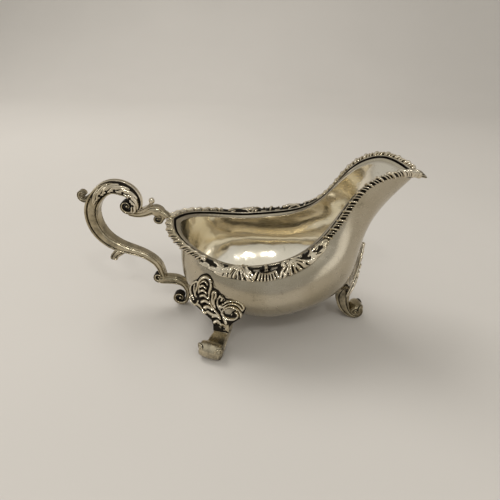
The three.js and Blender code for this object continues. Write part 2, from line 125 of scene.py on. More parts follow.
def ring_pts(ring, th, grow, k):
    a, f, b, zh, zs, zf, e = ring
    c, s = np.cos(th), np.sin(th)
    aa = np.where(c < 0, a, f) + grow
    bb = b + grow
    r = (np.abs(c) / aa) ** e + (np.abs(s) / bb) ** e
    r = r ** (-1 / e)
    wf, wh = np.maximum(c, 0) ** 2, np.maximum(-c, 0) ** 2
    z = zs + (zf - zs) * wf + (zh - zs) * wh
    z = z - grow * (1.0, 0.6, 0.15, 0.15)[k]
    return np.stack([AXIS_X + r * c, r * s, z], 1)


def spline_cols(P, T, d0=None):
    """Natural (or start-clamped) cubic splines through P[k, m, 3] sampled at T in 0..1 of chord length."""
    k, m, _ = P.shape
    h = np.linalg.norm(np.diff(P, axis=0), axis=2) ** 0.6          # k-1, m
    A = np.zeros((m, k, k))
    R = np.zeros((m, k, 3))
    for i in range(1, k - 1):
        A[:, i, i - 1] = h[i - 1]
        A[:, i, i] = 2 * (h[i - 1] + h[i])
        A[:, i, i + 1] = h[i]
        R[:, i] = 6 * ((P[i + 1] - P[i]) / h[i][:, None] - (P[i] - P[i - 1]) / h[i - 1][:, None])
    A[:, -1, -1] = 1
    if d0 is None:
        A[:, 0, 0] = 1
    else:
        A[:, 0, 0] = 2 * h[0]
        A[:, 0, 1] = h[0]
        R[:, 0] = 6 * ((P[1] - P[0]) / h[0][:, None] - d0)
    M = np.linalg.solve(A, R).transpose(1, 0, 2)                    # k, m, 3
    t = np.concatenate([np.zeros((1, m)), np.cumsum(h, 0)], 0)
    out = np.zeros((len(T), m, 3))
    for q, tt in enumerate(T):
        s = t[-1] * tt
        for i in range(k - 1):
            sel = (s >= t[i] - 1e-12) & ((s < t[i + 1]) | (i == k - 2))
            if not sel.any():
                continue
            hh = h[i][sel][:, None]
            b = (s[sel] - t[i][sel])[:, None]
            a = hh - b
            out[q, sel] = (M[i][sel] * a ** 3 + M[i + 1][sel] * b ** 3) / (6 * hh) \
                + (P[i][sel] / hh - M[i][sel] * hh / 6) * a + (P[i + 1][sel] / hh - M[i + 1][sel] * hh / 6) * b
    return out


def wall_cols(st, grow, out, up, T):
    """Bowl wall, from the base centre (T=0) to the given offset from the lip edge (T=1)."""
    top = off_rim(st, out, up)
    th = np.arctan2(top[:, 1], top[:, 0] - AXIS_X)
    pts = [np.tile([[AXIS_X - 1, 0, BASE_Z - grow]], (len(st), 1))]
    for k, ring in enumerate(RINGS):
        pts.append(ring_pts(ring, th, grow, k))
    pts.append(top)
    P = np.stack(pts, 0)
    d = P[1] - P[0]
    h0 = np.linalg.norm(d, axis=1) ** 0.6
    d0 = d / h0[:, None]
    d0[:, 2] = 0
    return spline_cols(P, T, d0)


def spline_open(P, n=None, t=None):
    """C2 open curve through rows of P (any width), sampled evenly."""
    P = np.asarray(P, float)
    X = np.zeros((len(P), 1, max(3, P.shape[1])))
    X[:, 0, :P.shape[1]] = P
    k = len(P)
    h = np.maximum(np.linalg.norm(np.diff(P[:, :2], axis=0), axis=1), 1e-6) ** 0.6
    W = P.shape[1]
    A = np.zeros((k, k))
    R = np.zeros((k, W))
    A[0, 0] = A[-1, -1] = 1
    for i in range(1, k - 1):
        A[i, i - 1], A[i, i], A[i, i + 1] = h[i - 1], 2 * (h[i - 1] + h[i]), h[i]
        R[i] = 6 * ((P[i + 1] - P[i]) / h[i] - (P[i] - P[i - 1]) / h[i - 1])
    M = np.linalg.solve(A, R)
    tt = np.r_[0, np.cumsum(h)]
    s = np.linspace(0, tt[-1], n) if t is None else np.asarray(t) * tt[-1]
    i = np.clip(np.searchsorted(tt, s, side="right") - 1, 0, k - 2)
    hh = h[i][:, None]
    b = (s - tt[i])[:, None]
    a = hh - b
    return (M[i] * a ** 3 + M[i + 1] * b ** 3) / (6 * hh) + (P[i] / hh - M[i] * hh / 6) * a + (P[i + 1] / hh - M[i + 1] * hh / 6) * b


def even(P, n, dims=2):
    """Rows of P resampled at even arc length of their first dims columns."""
    s = np.r_[0, np.cumsum(np.linalg.norm(np.diff(P[:, :dims], axis=0), axis=1))]
    q = np.linspace(0, s[-1], n)
    return np.stack([np.interp(q, s, P[:, k]) for k in range(P.shape[1])], 1)


# ------------------------------------------------ the side mounts' base shape
MOUNT_C = 8.93          # rim station of the shell's middle
MOUNT_A, MOUNT_B = 5.55, 12.5


def mount_scale(st):
    f = np.clip((np.asarray(st, float) - MOUNT_A) / (MOUNT_B - MOUNT_A), 0.015, 0.985)
    return np.sin(np.pi * f) ** 0.55


def mount_point(st, v, h):
    """st: rim station 0..20; v: 0 inner edge .. 1 outer edge; h: height off the base."""
    k = mount_scale(st)
    W = 4.9 + 4.9 * k
    D = 1.3 + 3.4 * k
    # base section: rises a little from the lip edge, then droops outside
    out = 0.1 + W * (v - 0.10 * v * v * v)
    up = 0.1 + 1.3 * np.sin(np.pi * np.minimum(v * 1.15, 1)) * (0.55 + 0.45 * k) - D * np.clip(v - 0.25, 0, 1) ** 1.7 * 1.6
    dv = 1e-3
    v2 = v + dv
    out2 = 0.1 + W * (v2 - 0.10 * v2 ** 3)
    up2 = 0.1 + 1.3 * np.sin(np.pi * np.minimum(v2 * 1.15, 1)) * (0.55 + 0.45 * k) - D * np.clip(v2 - 0.25, 0, 1) ** 1.7 * 1.6
    tx, tz = out2 - out, up2 - up
    l = np.hypot(tx, tz)
    nx, nz = -tz / l, tx / l
    p, n = rim_at(st)
    q = p + n * (out + nx * h)[:, None]
    q[:, 2] += up + nz * h
    return q


# --------------------------------------------------- the legs' local geometry
def leg_frame(cx, cy, deg, mirror=False):
    a = math.radians(deg)
    ca, sa = math.cos(a), math.sin(a)

    def place(s, t, z):
        s, t, z = np.broadcast_arrays(np.asarray(s, float), np.asarray(t, float), np.asarray(z, float))
        t = -t if mirror else t
        return np.stack([cx + s * ca - t * sa, cy + s * sa + t * ca, z], -1)
    return place


REAR_S = np.array([[19.0, -5.6], [22, -6.2], [25, -7.0], [28.5, -8.6], [33, -10.2], [37.5, -11.3], [41, -12.1], [44, -12.8], [47, -13.7], [49.6, -14.7], [53, -16.2]])
FRONT_S = np.array([[19.0, -7.0], [22, -7.2], [25, -6.6], [28.5, -5.4], [33, -4.2], [38, -3.4], [43, -3.0], [48, -2.6], [53, -2.2], [57, -1.7], [60, -1.3]])

# --------------------------------------------------------------- mesh helpers
MATS = {}


def make(name, V, F, mats, cav=None, face_mat=None, smooth=True, sharp_deg=None):
    """V in mm (before X_SHIFT) -> object in metres."""
    V = np.asarray(V, float).reshape(-1, 3)
    me = bpy.data.meshes.new(name)
    co = (V + [X_SHIFT, 0, 0]) * 0.001
    F4 = [f for f in F]
    me.from_pydata([], [], [])
    if isinstance(F, np.ndarray):
        F4 = F.tolist()
    me.from_pydata(co.tolist(), [], F4)
    for m in mats:
        me.materials.append(MATS[m])
    if face_mat is not None:
        me.polygons.foreach_set("material_index", np.asarray(face_mat, np.int32))
    me.polygons.foreach_set("use_smooth", np.full(len(me.polygons), bool(smooth)))
    a = me.attributes.new("cav", "FLOAT", "POINT")
    c = np.zeros(len(V)) if cav is None else np.clip(np.asarray(cav, float).ravel(), 0, 1)
    a.data.foreach_set("value", c.astype(np.float32))
    me.update()
    if sharp_deg is not None:
        me.set_sharp_from_angle(angle=math.radians(sharp_deg))
    ob = bpy.data.objects.new(name, me)
    bpy.context.scene.collection.objects.link(ob)
    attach(ob, "root")
    return ob


def fix_winding(V, F):
    """Flip all faces if the closed skin's volume comes out negative."""
    V = np.asarray(V).reshape(-1, 3)
    vol = 0.0
    for f in F:
        a = V[f[0]]
        for i in range(1, len(f) - 1):
            vol += np.dot(a, np.cross(V[f[i]], V[f[i + 1]]))
    return [list(f)[::-1] for f in F] if vol < 0 else F


def grid_faces(nu, nv, wrap_u=False, wrap_v=False, base=0):
    iu = np.arange(nu if wrap_u else nu - 1)
    iv = np.arange(nv if wrap_v else nv - 1)
    U, W = np.meshgrid(iu, iv, indexing="ij")
    U2, W2 = (U + 1) % nu, (W + 1) % nv
    q = np.stack([U * nv + W, U2 * nv + W, U2 * nv + W2, U * nv + W2], -1).reshape(-1, 4) + base
    return q


def vol_of(V, Q):
    V = np.asarray(V).reshape(-1, 3)
    a, b, c, d = (V[Q[:, k]] for k in range(4))
    return np.einsum("ij,ij->i", a, np.cross(b, c)).sum() + np.einsum("ij,ij->i", a, np.cross(c, d)).sum()


def blur(H, su, sv=None, wrap_u=False):
    """Separable gaussian blur of a 2-D field, sigmas in samples."""
    sv = su if sv is None else sv

    def one(A, s, axis, wrap):
        if s <= 0:
            return A
        r = max(1, int(3 * s))
        k = np.exp(-0.5 * (np.arange(-r, r + 1) / s) ** 2)
        k /= k.sum()
        pad = [(0, 0), (0, 0)]
        pad[axis] = (r, r)
        B = np.pad(A, pad, mode="wrap" if wrap else "edge")
        out = np.zeros_like(A)
        for i, w in enumerate(k):
            sl = [slice(None), slice(None)]
            sl[axis] = slice(i, i + A.shape[axis])
            out += w * B[tuple(sl)]
        return out
    return one(one(H, su, 0, wrap_u), sv, 1, False)


def cavity(H, sig, gain, wrap_u=False):
    """0..1: how far a height field lies below its surroundings."""
    return np.clip((blur(H, sig[0], sig[1], wrap_u) - H) * gain, 0, 1)


def seg_dist(X, Y, pts):
    """Distance to a polyline and the place along it (0..1) for arrays X, Y."""
    pts = np.asarray(pts, float)
    best = np.full(X.shape, 1e9)
    tt = np.zeros(X.shape)
    L = np.r_[0, np.cumsum(np.linalg.norm(np.diff(pts[:, :2], axis=0), axis=1))]
    tot = L[-1]
    for i in range(len(pts) - 1):
        ax, ay = pts[i, :2]
        bx, by = pts[i + 1, :2]
        dx, dy = bx - ax, by - ay
        l2 = dx * dx + dy * dy + 1e-12
        u = np.clip(((X - ax) * dx + (Y - ay) * dy) / l2, 0, 1)
        d = np.hypot(X - ax - u * dx, Y - ay - u * dy)
        m = d < best
        best = np.where(m, d, best)
        tt = np.where(m, (L[i] + u * math.sqrt(l2)) / tot, tt)
    return best, tt


def curve2(pts, n=24):
    """Smooth open curve through a few 2-D points."""
    return spline_open(np.asarray(pts, float), n=n)


def rib(X, Y, pts, w0, w1, h0, h1, smooth=True, peak=None, power=0.5):
    """Rounded rib along a curve. Widths and heights run from the first end to the last,
    or swell to peak=(width, height) at the middle."""
    c = curve2(pts) if smooth and len(pts) > 2 else np.asarray(pts, float)
    d, t = seg_dist(X, Y, c)
    w = w0 + (w1 - w0) * t
    h = h0 + (h1 - h0) * t
    if peak is not None:
        k = np.sin(np.pi * t)
        w = w + (peak[0] - 0.5 * (w0 + w1)) * k
        h = h + (peak[1] - 0.5 * (h0 + h1)) * k
    x = np.clip(1 - (d / np.maximum(w, 1e-3)) ** 2, 0, 1)
    return h * x ** power


def groove(X, Y, pts, w, depth, smooth=True):
    c = curve2(pts) if smooth and len(pts) > 2 else np.asarray(pts, float)
    d, t = seg_dist(X, Y, c)
    return -depth * np.exp(-(d / w) ** 2)


def spiral2(cx, cy, r0, a0, turns, r1, sign, n=40):
    """Points on a tightening spiral, angles in degrees."""
    k = np.linspace(0, 1, n)
    r = r0 * (r1 / r0) ** k
    a = np.radians(a0 + sign * 360 * turns * k)
    return np.stack([cx + r * np.cos(a), cy + r * np.sin(a)], 1)


# ------------------------------------------------- swept scrolls with a section
def sec_plain(m=28, p=2.4):
    a = np.linspace(0, 2 * np.pi, m, endpoint=False)
    c, s = np.cos(a), np.sin(a)
    return np.stack([np.sign(c) * np.abs(c) ** (2 / p), np.sign(s) * np.abs(s) ** (2 / p)], 1), np.zeros(m)


def sec_scroll(bead=0.30, cen=0.56, gro=0.60, side=0.86, k=7):
    """Scroll section: flat-domed top and bottom, on each side a bead along both edges
    and a rounded swell between them. Rows are (n, y, cavity)."""
    half = []
    half += [(1.00, 0.0, 0), (1.0, 0.3, 0), (0.99, 0.55, 0), (0.965, side * 0.86, 0)]
    for a in np.linspace(70, -80, k):
        half.append((1.0 - bead * 0.5 + bead * 0.5 * math.sin(math.radians(a)) * 0.97, side - 0.11 + 0.13 * math.cos(math.radians(a)), 0))
    half.append((1 - bead - 0.03, gro, 0.9))
    half.append((1 - bead - 0.07, gro, 0.9))
    for x in np.linspace(cen, -cen, 9)[0:]:
        half.append((x, gro + (1.0 - gro) * math.sqrt(max(0.0, 1 - (x / (cen + 0.03)) ** 2)), 0))
    half.append((-(1 - bead - 0.07), gro, 0.9))
    half.append((-(1 - bead - 0.03), gro, 0.9))
    for a in np.linspace(80, -70, k):
        half.append((-1.0 + bead * 0.5 + bead * 0.5 * math.sin(math.radians(a)) * 0.97, side - 0.11 + 0.13 * math.cos(math.radians(a)), 0))
    half += [(-0.965, side * 0.86, 0), (-0.99, 0.55, 0), (-1.0, 0.3, 0), (-1.0, 0.0, 0)]
    h = np.array(half)
    other = h[1:-1][::-1] * [1, -1, 1]
    full = np.vstack([h, other])
    return full[:, :2], full[:, 2]


def sweep(path, section, to3d, n=160, spin=None, lift=None, round_ends=(True, True), curl=None, curl2=None):
    """Sweep a section along rows (a, b, half thickness, half width[, sideways shift]).
    Returns vertices, quads (with fans folded in) and the cavity values."""
    P = even(spline_open(path, n=n * 3), n)
    sec, sc = section
    m = len(sec)
    T = np.gradient(P[:, :2], axis=0)
    T /= np.linalg.norm(T, axis=1)[:, None]
    N = np.stack([-T[:, 1], T[:, 0]], 1)
    s = np.r_[0, np.cumsum(np.linalg.norm(np.diff(P[:, :2], axis=0), axis=1))]
    ht, hw = P[:, 2].copy(), P[:, 3].copy()
    # rounded ends
    push = np.zeros(n)
    for end, on in ((0, round_ends[0]), (1, round_ends[1])):
        if not on:
            continue
        d = s if end == 0 else s[-1] - s
        R = ht[0] if end == 0 else ht[-1]
        x = np.clip(d / max(R, 1e-6), 0, 1)
        k = np.sqrt(np.clip(1 - (1 - x) ** 2, 0.0004, 1))
        ht *= k
        hw *= (0.35 + 0.65 * k)
    sh = P[:, 4] if P.shape[1] > 4 else np.zeros(n)
    V = np.zeros((n, m, 3))
    for j in range(m):
        a = P[:, 0] + N[:, 0] * sec[j, 0] * ht
        b = P[:, 1] + N[:, 1] * sec[j, 0] * ht
        V[:, j] = to3d(a, b, sec[j, 1] * hw + sh)
    F = grid_faces(n, m, wrap_v=True)
    V = V.reshape(-1, 3)
    C = np.tile(sc, (n, 1))
    # inside a rolled end the faces that look at the next turn are dark; the path's
    # turning direction says which face is the inner one
    cr = T[:-1, 0] * T[1:, 1] - T[:-1, 1] * T[1:, 0]
    for rg in (curl, curl2):
        if rg is None:
            continue
        u = np.linspace(0, 1, n)
        on = (u >= min(rg[:2])) & (u <= max(rg[:2]))
        sgn = np.sign(cr[on[:-1]].sum())
        uu = (u - rg[0]) / (rg[1] - rg[0])
        depth = np.clip((uu - 0.12) * 5.0, 0, 1)
        inner = np.clip((sec[:, 0] * sgn - 0.55) / 0.3, 0, 1)
        outer = np.clip((-sec[:, 0] * sgn - 0.55) / 0.3, 0, 1)
        flat = np.clip((1 - np.abs(sec[:, 1])) / 0.10, 0, 1)
        full = np.clip((uu - rg[2]) * 8, 0, 1)
        C = np.maximum(C, on[:, None] * np.maximum(depth[:, None] * inner[None, :], full[:, None] * outer[None, :]) * flat[None, :])
    # end caps as fans
    c0, c1 = V[:m].mean(0), V[-m:].mean(0)
    k0, k1 = len(V), len(V) + 1
    V = np.vstack([V, c0, c1])
    C = np.r_[C.ravel(), 0, 0]
    quads = F.tolist()
    caps = [[k0, (j + 1) % m, j] for j in range(m)]
    b = (n - 1) * m
    caps += [[k1, b + j, b + (j + 1) % m] for j in range(m)]
    F = quads + caps
    # outward?
    Q = np.array(quads)
    if vol_of(V, Q) < 0:
        F = [f[::-1] for f in F]
    return V, F, C


class Bag:
    """Collects several closed skins into one object."""

    def __init__(self):
        self.V, self.F, self.C, self.M, self.n = [], [], [], [], 0

    def add(self, V, F, C=None, mat=0):
        V = np.asarray(V, float).reshape(-1, 3)
        self.V.append(V)
        if isinstance(F, np.ndarray):
            F = F.tolist()
        self.F += [[i + self.n for i in f] for f in F]
        self.M += [mat] * len(F)
        self.C.append(np.zeros(len(V)) if C is None else np.asarray(C, float).ravel())
        self.n += len(V)

    def make(self, name, mats, **kw):
        return make(name, np.vstack(self.V), self.F, mats, cav=np.concatenate(self.C), face_mat=self.M, **kw)


def blob(center, radii, axes=None, nu=20, nv=28, cav=0.0):
    """Small rounded lump (boss, ball or bead) with its own axes."""
    a = np.linspace(0, np.pi, nu)
    b = np.linspace(0, 2 * np.pi, nv, endpoint=False)
    A, B = np.meshgrid(a[1:-1], b, indexing="ij")
    L = np.stack([np.sin(A) * np.cos(B) * radii[0], np.sin(A) * np.sin(B) * radii[1], np.cos(A) * radii[2]], -1).reshape(-1, 3)
    L = np.vstack([L, [0, 0, radii[2]], [0, 0, -radii[2]]])
    if axes is not None:
        L = L @ np.asarray(axes)
    V = L + np.asarray(center)
    m = nu - 2
    F = grid_faces(m, nv, wrap_v=True).tolist()
    k0, k1 = m * nv, m * nv + 1
    F += [[k0, j, (j + 1) % nv] for j in range(nv)]
    F += [[k1, (m - 1) * nv + (j + 1) % nv, (m - 1) * nv + j] for j in range(nv)]
    Q = np.array([f if len(f) == 4 else f + [f[2]] for f in F])
    if vol_of(V, Q) < 0:
        F = [f[::-1] for f in F]
    return V, F, np.full(len(V), cav)


def sheet(front, back, H=None, C=None):
    """Closed plate from two matching grids, joined around the edge."""
    nu, nv, _ = front.shape
    V = np.vstack([front.reshape(-1, 3), back.reshape(-1, 3)])
    F = grid_faces(nu, nv)
    B = grid_faces(nu, nv, base=nu * nv)[:, ::-1]
    o = nu * nv
    idx = lambda i, j: i * nv + j
    S = []
    for i in range(nu - 1):
        S.append([idx(i + 1, 0), idx(i, 0), o + idx(i, 0), o + idx(i + 1, 0)])
        S.append([idx(i, nv - 1), idx(i + 1, nv - 1), o + idx(i + 1, nv - 1), o + idx(i, nv - 1)])
    for j in range(nv - 1):
        S.append([idx(0, j), idx(0, j + 1), o + idx(0, j + 1), o + idx(0, j)])
        S.append([idx(nu - 1, j + 1), idx(nu - 1, j), o + idx(nu - 1, j), o + idx(nu - 1, j + 1)])
    Q = np.vstack([F, B, np.array(S)])
    if vol_of(V, Q) < 0:
        Q = Q[:, ::-1]
    cc = np.zeros(nu * nv) if C is None else C.ravel()
    return V, Q.tolist(), np.r_[cc, cc * 0 + 0.25]

# stage constants
bpy.context.scene.view_settings.view_transform = "Standard"
FLOOR_A = (0.585, 0.556, 0.516, 1)
FLOOR_B = (0.565, 0.537, 0.498, 1)
# sky colours from straight down, horizon, low, middle, high, straight up
WORLD = [(0.24, 0.23, 0.21, 1), (0.40, 0.385, 0.36, 1), (0.45, 0.435, 0.41, 1), (0.44, 0.43, 0.405, 1), (0.56, 0.55, 0.52, 1), (0.68, 0.665, 0.63, 1)]
WORLD_S = 1.0
LIGHTS = [
    ("key", (-0.55, 0.45, 1.15), (0.0, 0.05, 0.0), (0.8, 0.7), 9.3, (1.0, 0.98, 0.955)),
    ("window_a", (0.335, -0.66, 0.99), (0, 0, 0.03), (0.055, 0.12), 1.0, (1.0, 0.99, 0.97)),
    ("window_b", (-0.035, -0.75, 0.96), (0, 0, 0.03), (0.055, 0.12), 1.0, (1.0, 0.99, 0.97)),
    ("fill", (-0.35, -0.95, 1.1), (0, 0, 0.05), (0.7, 0.5), 1.0, (1.0, 0.98, 0.95)),
    ("card_right", (1.0, -0.85, 0.24), (0, 0, 0.05), (0.9, 0.50), 0.9, (1.0, 0.98, 0.95)),
    ("card_left", (-0.95, -0.15, 0.42), (0, 0, 0.05), (0.5, 0.40), 1.0, (1.0, 0.98, 0.95)),
]

# ------------------------------------------------------------------ materials
def lin(r, g, b):
    f = lambda c: ((c / 255 + 0.055) / 1.055) ** 2.4 if c > 10 else c / 255 / 12.92
    return (f(r), f(g), f(b), 1.0)


class Tree:
    def __init__(self, name):
        self.mat = bpy.data.materials.new(name)
        self.mat.use_nodes = True
        self.nt = self.mat.node_tree
        self.nt.nodes.clear()
        self.out = self.nt.nodes.new("ShaderNodeOutputMaterial")
        self.bs = self.nt.nodes.new("ShaderNodeBsdfPrincipled")
        self.nt.links.new(self.bs.outputs[0], self.out.inputs[0])

    def n(self, kind, **kw):
        nd = self.nt.nodes.new(kind)
        for k, v in kw.items():
            setattr(nd, k, v)
        return nd

    def put(self, sock, v):
        if isinstance(v, bpy.types.NodeSocket):
            self.nt.links.new(v, sock)
        else:
            sock.default_value = v

    def math(self, op, a, b=0.0, c=None, clamp=False):
        m = self.n("ShaderNodeMath", operation=op, use_clamp=clamp)
        self.put(m.inputs[0], a)
        self.put(m.inputs[1], b)
        if c is not None:
            self.put(m.inputs[2], c)
        return m.outputs[0]

    def mix(self, f, a, b):
        m = self.n("ShaderNodeMix", data_type="RGBA")
        self.put(m.inputs["Factor"], f)
        self.put(m.inputs[6], a)
        self.put(m.inputs[7], b)
        return m.outputs[2]

    def noise(self, scale, detail=3.0, rough=0.55, vec=None, stretch=None, dist=0.0):
        t = self.n("ShaderNodeTexNoise")
        t.inputs["Scale"].default_value = scale
        t.inputs["Detail"].default_value = detail
        t.inputs["Roughness"].default_value = rough
        t.inputs["Distortion"].default_value = dist
        v = vec if vec is not None else self.obj
        if stretch is not None:
            mp = self.n("ShaderNodeMapping")
            mp.inputs["Scale"].default_value = stretch
            self.put(mp.inputs["Vector"], v)
            v = mp.outputs[0]
        self.put(t.inputs["Vector"], v)
        return t.outputs[0]

    @property
    def obj(self):
        if not hasattr(self, "_o"):
            self._o = self.n("ShaderNodeTexCoord").outputs["Object"]
        return self._o

    def ramp(self, f, stops):
        r = self.n("ShaderNodeValToRGB")
        self.put(r.inputs[0], f)
        el = r.color_ramp.elements
        while len(el) > 1:
            el.remove(el[-1])
        el[0].position = stops[0][0]
        el[0].color = stops[0][1]
        for p, c in stops[1:]:
            e = el.new(p)
            e.color = c
        return r.outputs[0]

    def rng(self, f, a, b, c, d):
        m = self.n("ShaderNodeMapRange")
        m.clamp = True
        self.put(m.inputs["Value"], f)
        for i, v in zip(("From Min", "From Max", "To Min", "To Max"), (a, b, c, d)):
            m.inputs[i].default_value = v
        return m.outputs[0]

    def attr(self, name):
        a = self.n("ShaderNodeAttribute", attribute_type="GEOMETRY", attribute_name=name)
        return a.outputs["Fac"]

    def bump(self, h, strength, dist, normal=None):
        b = self.n("ShaderNodeBump")
        b.inputs["Strength"].default_value = strength
        b.inputs["Distance"].default_value = dist
        self.put(b.inputs["Height"], h)
        if normal is not None:
            self.put(b.inputs["Normal"], normal)
        return b.outputs[0]


def silver(name, tint, warm, rough, tarnish_and_shade_amount, wave, bowl=False):
    t = Tree(name)
    cav = t.attr("cav")
    big = t.noise(38.0, 3.0, 0.55)
    mid = t.noise(170.0, 4.0, 0.6)
    fine = t.noise(1400.0, 3.0, 0.6)
    col = t.mix(t.rng(big, 0.38, 0.66, 0.0, 1.0), tint, warm)
    col = t.mix(t.rng(mid, 0.55, 0.80, 0.0, 0.12), col, tuple(c * 0.72 for c in warm[:3]) + (1,))
    # hair-fine polishing lines
    hair = t.noise(900.0, 2.0, 0.5, stretch=(0.07, 1.0, 1.0))
    hair2 = t.noise(900.0, 2.0, 0.5, stretch=(1.0, 0.09, 0.6))
    lines = t.math("ADD", t.rng(hair, 0.57, 0.72, 0, 1), t.rng(hair2, 0.59, 0.74, 0, 1), clamp=True)
    if bowl:
        ins = t.attr("inside")
        # the inside of the bowl gets a much paler tint than the outside silver: painted light for the bright interior
        inside_lit_tint = lin(251, 245, 231)
        inside_lit_tint2 = lin(244, 236, 216)
        inner = t.mix(t.rng(t.noise(30.0, 3.0, 0.5), 0.36, 0.66, 0, 1), inside_lit_tint, inside_lit_tint2)
        col = t.mix(ins, col, inner)
    r0 = t.rng(mid, 0.3, 0.75, rough * 0.9, rough * 1.15)
    r1 = t.math("MULTIPLY_ADD", lines, 0.10, r0)
    if bowl:
        r1 = t.math("MULTIPLY", r1, t.math("MULTIPLY_ADD", ins, -0.30, 1.0))
    # dark tarnish in the hollows, broken up a little; where cav was raised for shade (under the lip, the border's inner
    # edge, the feet, the eye discs) this darkening is painted shade
    tarnish_and_shade_mask = t.math("MULTIPLY_ADD", t.rng(mid, 0.3, 0.7, -0.18, 0.18), 1.0, cav)
    tarnish_and_shade_mask = t.rng(tarnish_and_shade_mask, 0.10, 0.52, 0.0, tarnish_and_shade_amount)
    col = t.mix(tarnish_and_shade_mask, col, lin(20, 15, 9))
    rr = t.math("MULTIPLY_ADD", tarnish_and_shade_mask, 0.35, r1, clamp=True)
    t.put(t.bs.inputs["Base Color"], col)
    t.put(t.bs.inputs["Roughness"], rr)
    t.put(t.bs.inputs["Metallic"], t.math("MULTIPLY_ADD", tarnish_and_shade_mask, -0.06, 1.0, clamp=True))
    w = t.noise(wave[0], 2.0, 0.5)
    nrm = t.bump(w, wave[1], 0.0012)
    nrm = t.bump(mid, wave[2], 0.0003, nrm)
    nrm = t.bump(fine, 0.05, 0.0001, nrm)
    if bowl:
        ham = t.noise(48.0, 1.0, 0.4, dist=0.3)
        nrm2 = t.bump(t.math("MULTIPLY_ADD", t.noise(130.0, 2.0, 0.5), 0.22, ham), 0.24, 0.003)
        m = t.n("ShaderNodeMix", data_type="VECTOR")
        t.put(m.inputs["Factor"], ins)
        t.put(m.inputs[4], nrm)
        t.put(m.inputs[5], nrm2)
        nrm = m.outputs[1]
    t.put(t.bs.inputs["Normal"], nrm)
    MATS_T[name] = t
    return t.mat


MATS_T = {}
MATS["bowl"] = silver("silver_bowl", lin(191, 182, 163), lin(176, 166, 144), 0.20, 1.0, (45.0, 0.10, 0.04), bowl=True)
MATS["cast"] = silver("silver_cast", lin(226, 216, 196), lin(198, 186, 158), 0.13, 0.98, (90.0, 0.10, 0.06))
# darker, yellower copy of the cast silver, used on the handle and the feet; on the feet its darker tint is painted
# shade
MATS["scroll"] = silver("silver_scroll", lin(200, 189, 164), lin(166, 154, 126), 0.16, 0.98, (70.0, 0.10, 0.06))
for nm, slot in (("bowl", "bowl_silver"), ("cast", "cast_silver")):
    pass

for node, o in [(n, bpy.data.objects.get(n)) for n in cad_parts]:
    if o is None or o.type != "MESH":
        continue
    for i in range(len(o.material_slots)):
        o.material_slots[i].material = MATS["cast"]

# --------------------------------------------------------------- the bowl body
ARC_T, ARC_S = arc_table(rim_curve, 0, 40, 8001)
RIM_LEN = ARC_S[-1]


def st_of_s(s):
    return np.interp(np.asarray(s) % RIM_LEN, ARC_S, ARC_T)


def s_of_st(st):
    return np.interp(st, ARC_T, ARC_S)


def build_body():
    NC = 620
    st = st_of_s(np.linspace(0, RIM_LEN, NC, endpoint=False))
    w = lip_width(st) - 0.3
    ci = -(2.40 + w)
    rows, cav = [], []
    T = np.linspace(0.015, 1.0, 84)
    outer = wall_cols(st, 0.0, ci + 1.5, np.full(NC, -3.4), T)
    for k in range(len(T)):
        rows.append(outer[k])
        cav.append(0.0)
    # under the lip and its rolled edge; the third number darkens the outside under the border as painted shade, and the
    # cove inside the bead as patina with painted shade
    prof = [(-1.7, -2.35, .5), (-0.6, -1.75, .6), (0.1, -1.25, .5), (0.38, -0.7, .3), (0.42, -0.1, .2), (0.34, 0.28, .1),
            (0.10, 0.52, 0), (-0.20, 0.62, 0), (-0.50, 0.55, 0), (-0.74, 0.34, .1), (-0.88, 0.02, .5),
            (-0.96, -0.40, .95), (-1.06, -0.85, 1), (-1.24, -1.18, 1), (-1.52, -1.34, 1), (-1.84, -1.30, 1), (-2.08, -1.12, 1), (-2.22, -0.92, .8), (-2.34, -0.80, .15)]
    for o, u, c in prof:
        rows.append(off_rim(st, np.full(NC, o), u))
        cav.append(c)
    # concave band down to the crisp edge
    for x in np.linspace(0.08, 1, 11):
        o = -2.38 - w * x
        u = -0.78 - 1.30 * np.sin(np.pi * 0.5 * x) ** 1.1 + 0.20 * max(0.0, (x - 0.84) / 0.16)
        rows.append(off_rim(st, o, u))
        cav.append(0.0)
    inner = wall_cols(st, -WALL, ci - 0.05, np.full(NC, -1.98), np.linspace(1.0, 0.015, 84))
    for k in range(84):
        rows.append(inner[k])
        cav.append(-1.0 if k > 0 else 0.0)      # marks the inside
    V = np.stack(rows, 0)
    nr = len(rows)
    F = grid_faces(nr, NC, wrap_v=True)
    c = np.array(cav)
    inside = np.where(c < 0, 1.0, 0.0)
    C = np.repeat(np.clip(c, 0, 1)[:, None], NC, 1)
    flip = vol_of(V, F) < 0
    if flip:
        F = F[:, ::-1]
    V2 = V.reshape(-1, 3)
    bot = V[0].mean(0) * [1, 1, 0] + [0, 0, BASE_Z]
    top = V[-1].mean(0) * [1, 1, 0] + [0, 0, BASE_Z + WALL]
    k0, k1 = len(V2), len(V2) + 1
    V2 = np.vstack([V2, bot, top])
    caps = []
    b = (nr - 1) * NC
    for j in range(NC):
        j2 = (j + 1) % NC
        caps.append([k0, j, j2] if not flip else [k0, j2, j])
        caps.append([k1, b + j2, b + j] if not flip else [k1, b + j, b + j2])
    # the fans must run against the wall's first and last rows
    f0 = F[0]
    FF = F.tolist()
    edges = set()
    for q in FF[:NC] + FF[-NC:]:
        for i in range(len(q)):
            edges.add((q[i], q[(i + 1) % len(q)]))
    good = []
    for t in caps:
        bad = any((t[i], t[(i + 1) % 3]) in edges for i in range(3))
        good.append(t[::-1] if bad else t)
    inn = np.r_[np.repeat(inside[:, None], NC, 1).ravel(), 0, 1]
    ob = make("bowl_body", V2, FF + good, ["bowl"], cav=np.r_[C.ravel(), 0, 0])
    a = ob.data.attributes.new("inside", "FLOAT", "POINT")
    a.data.foreach_set("value", inn.astype(np.float32))
    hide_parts("body_bowl")
    return ob


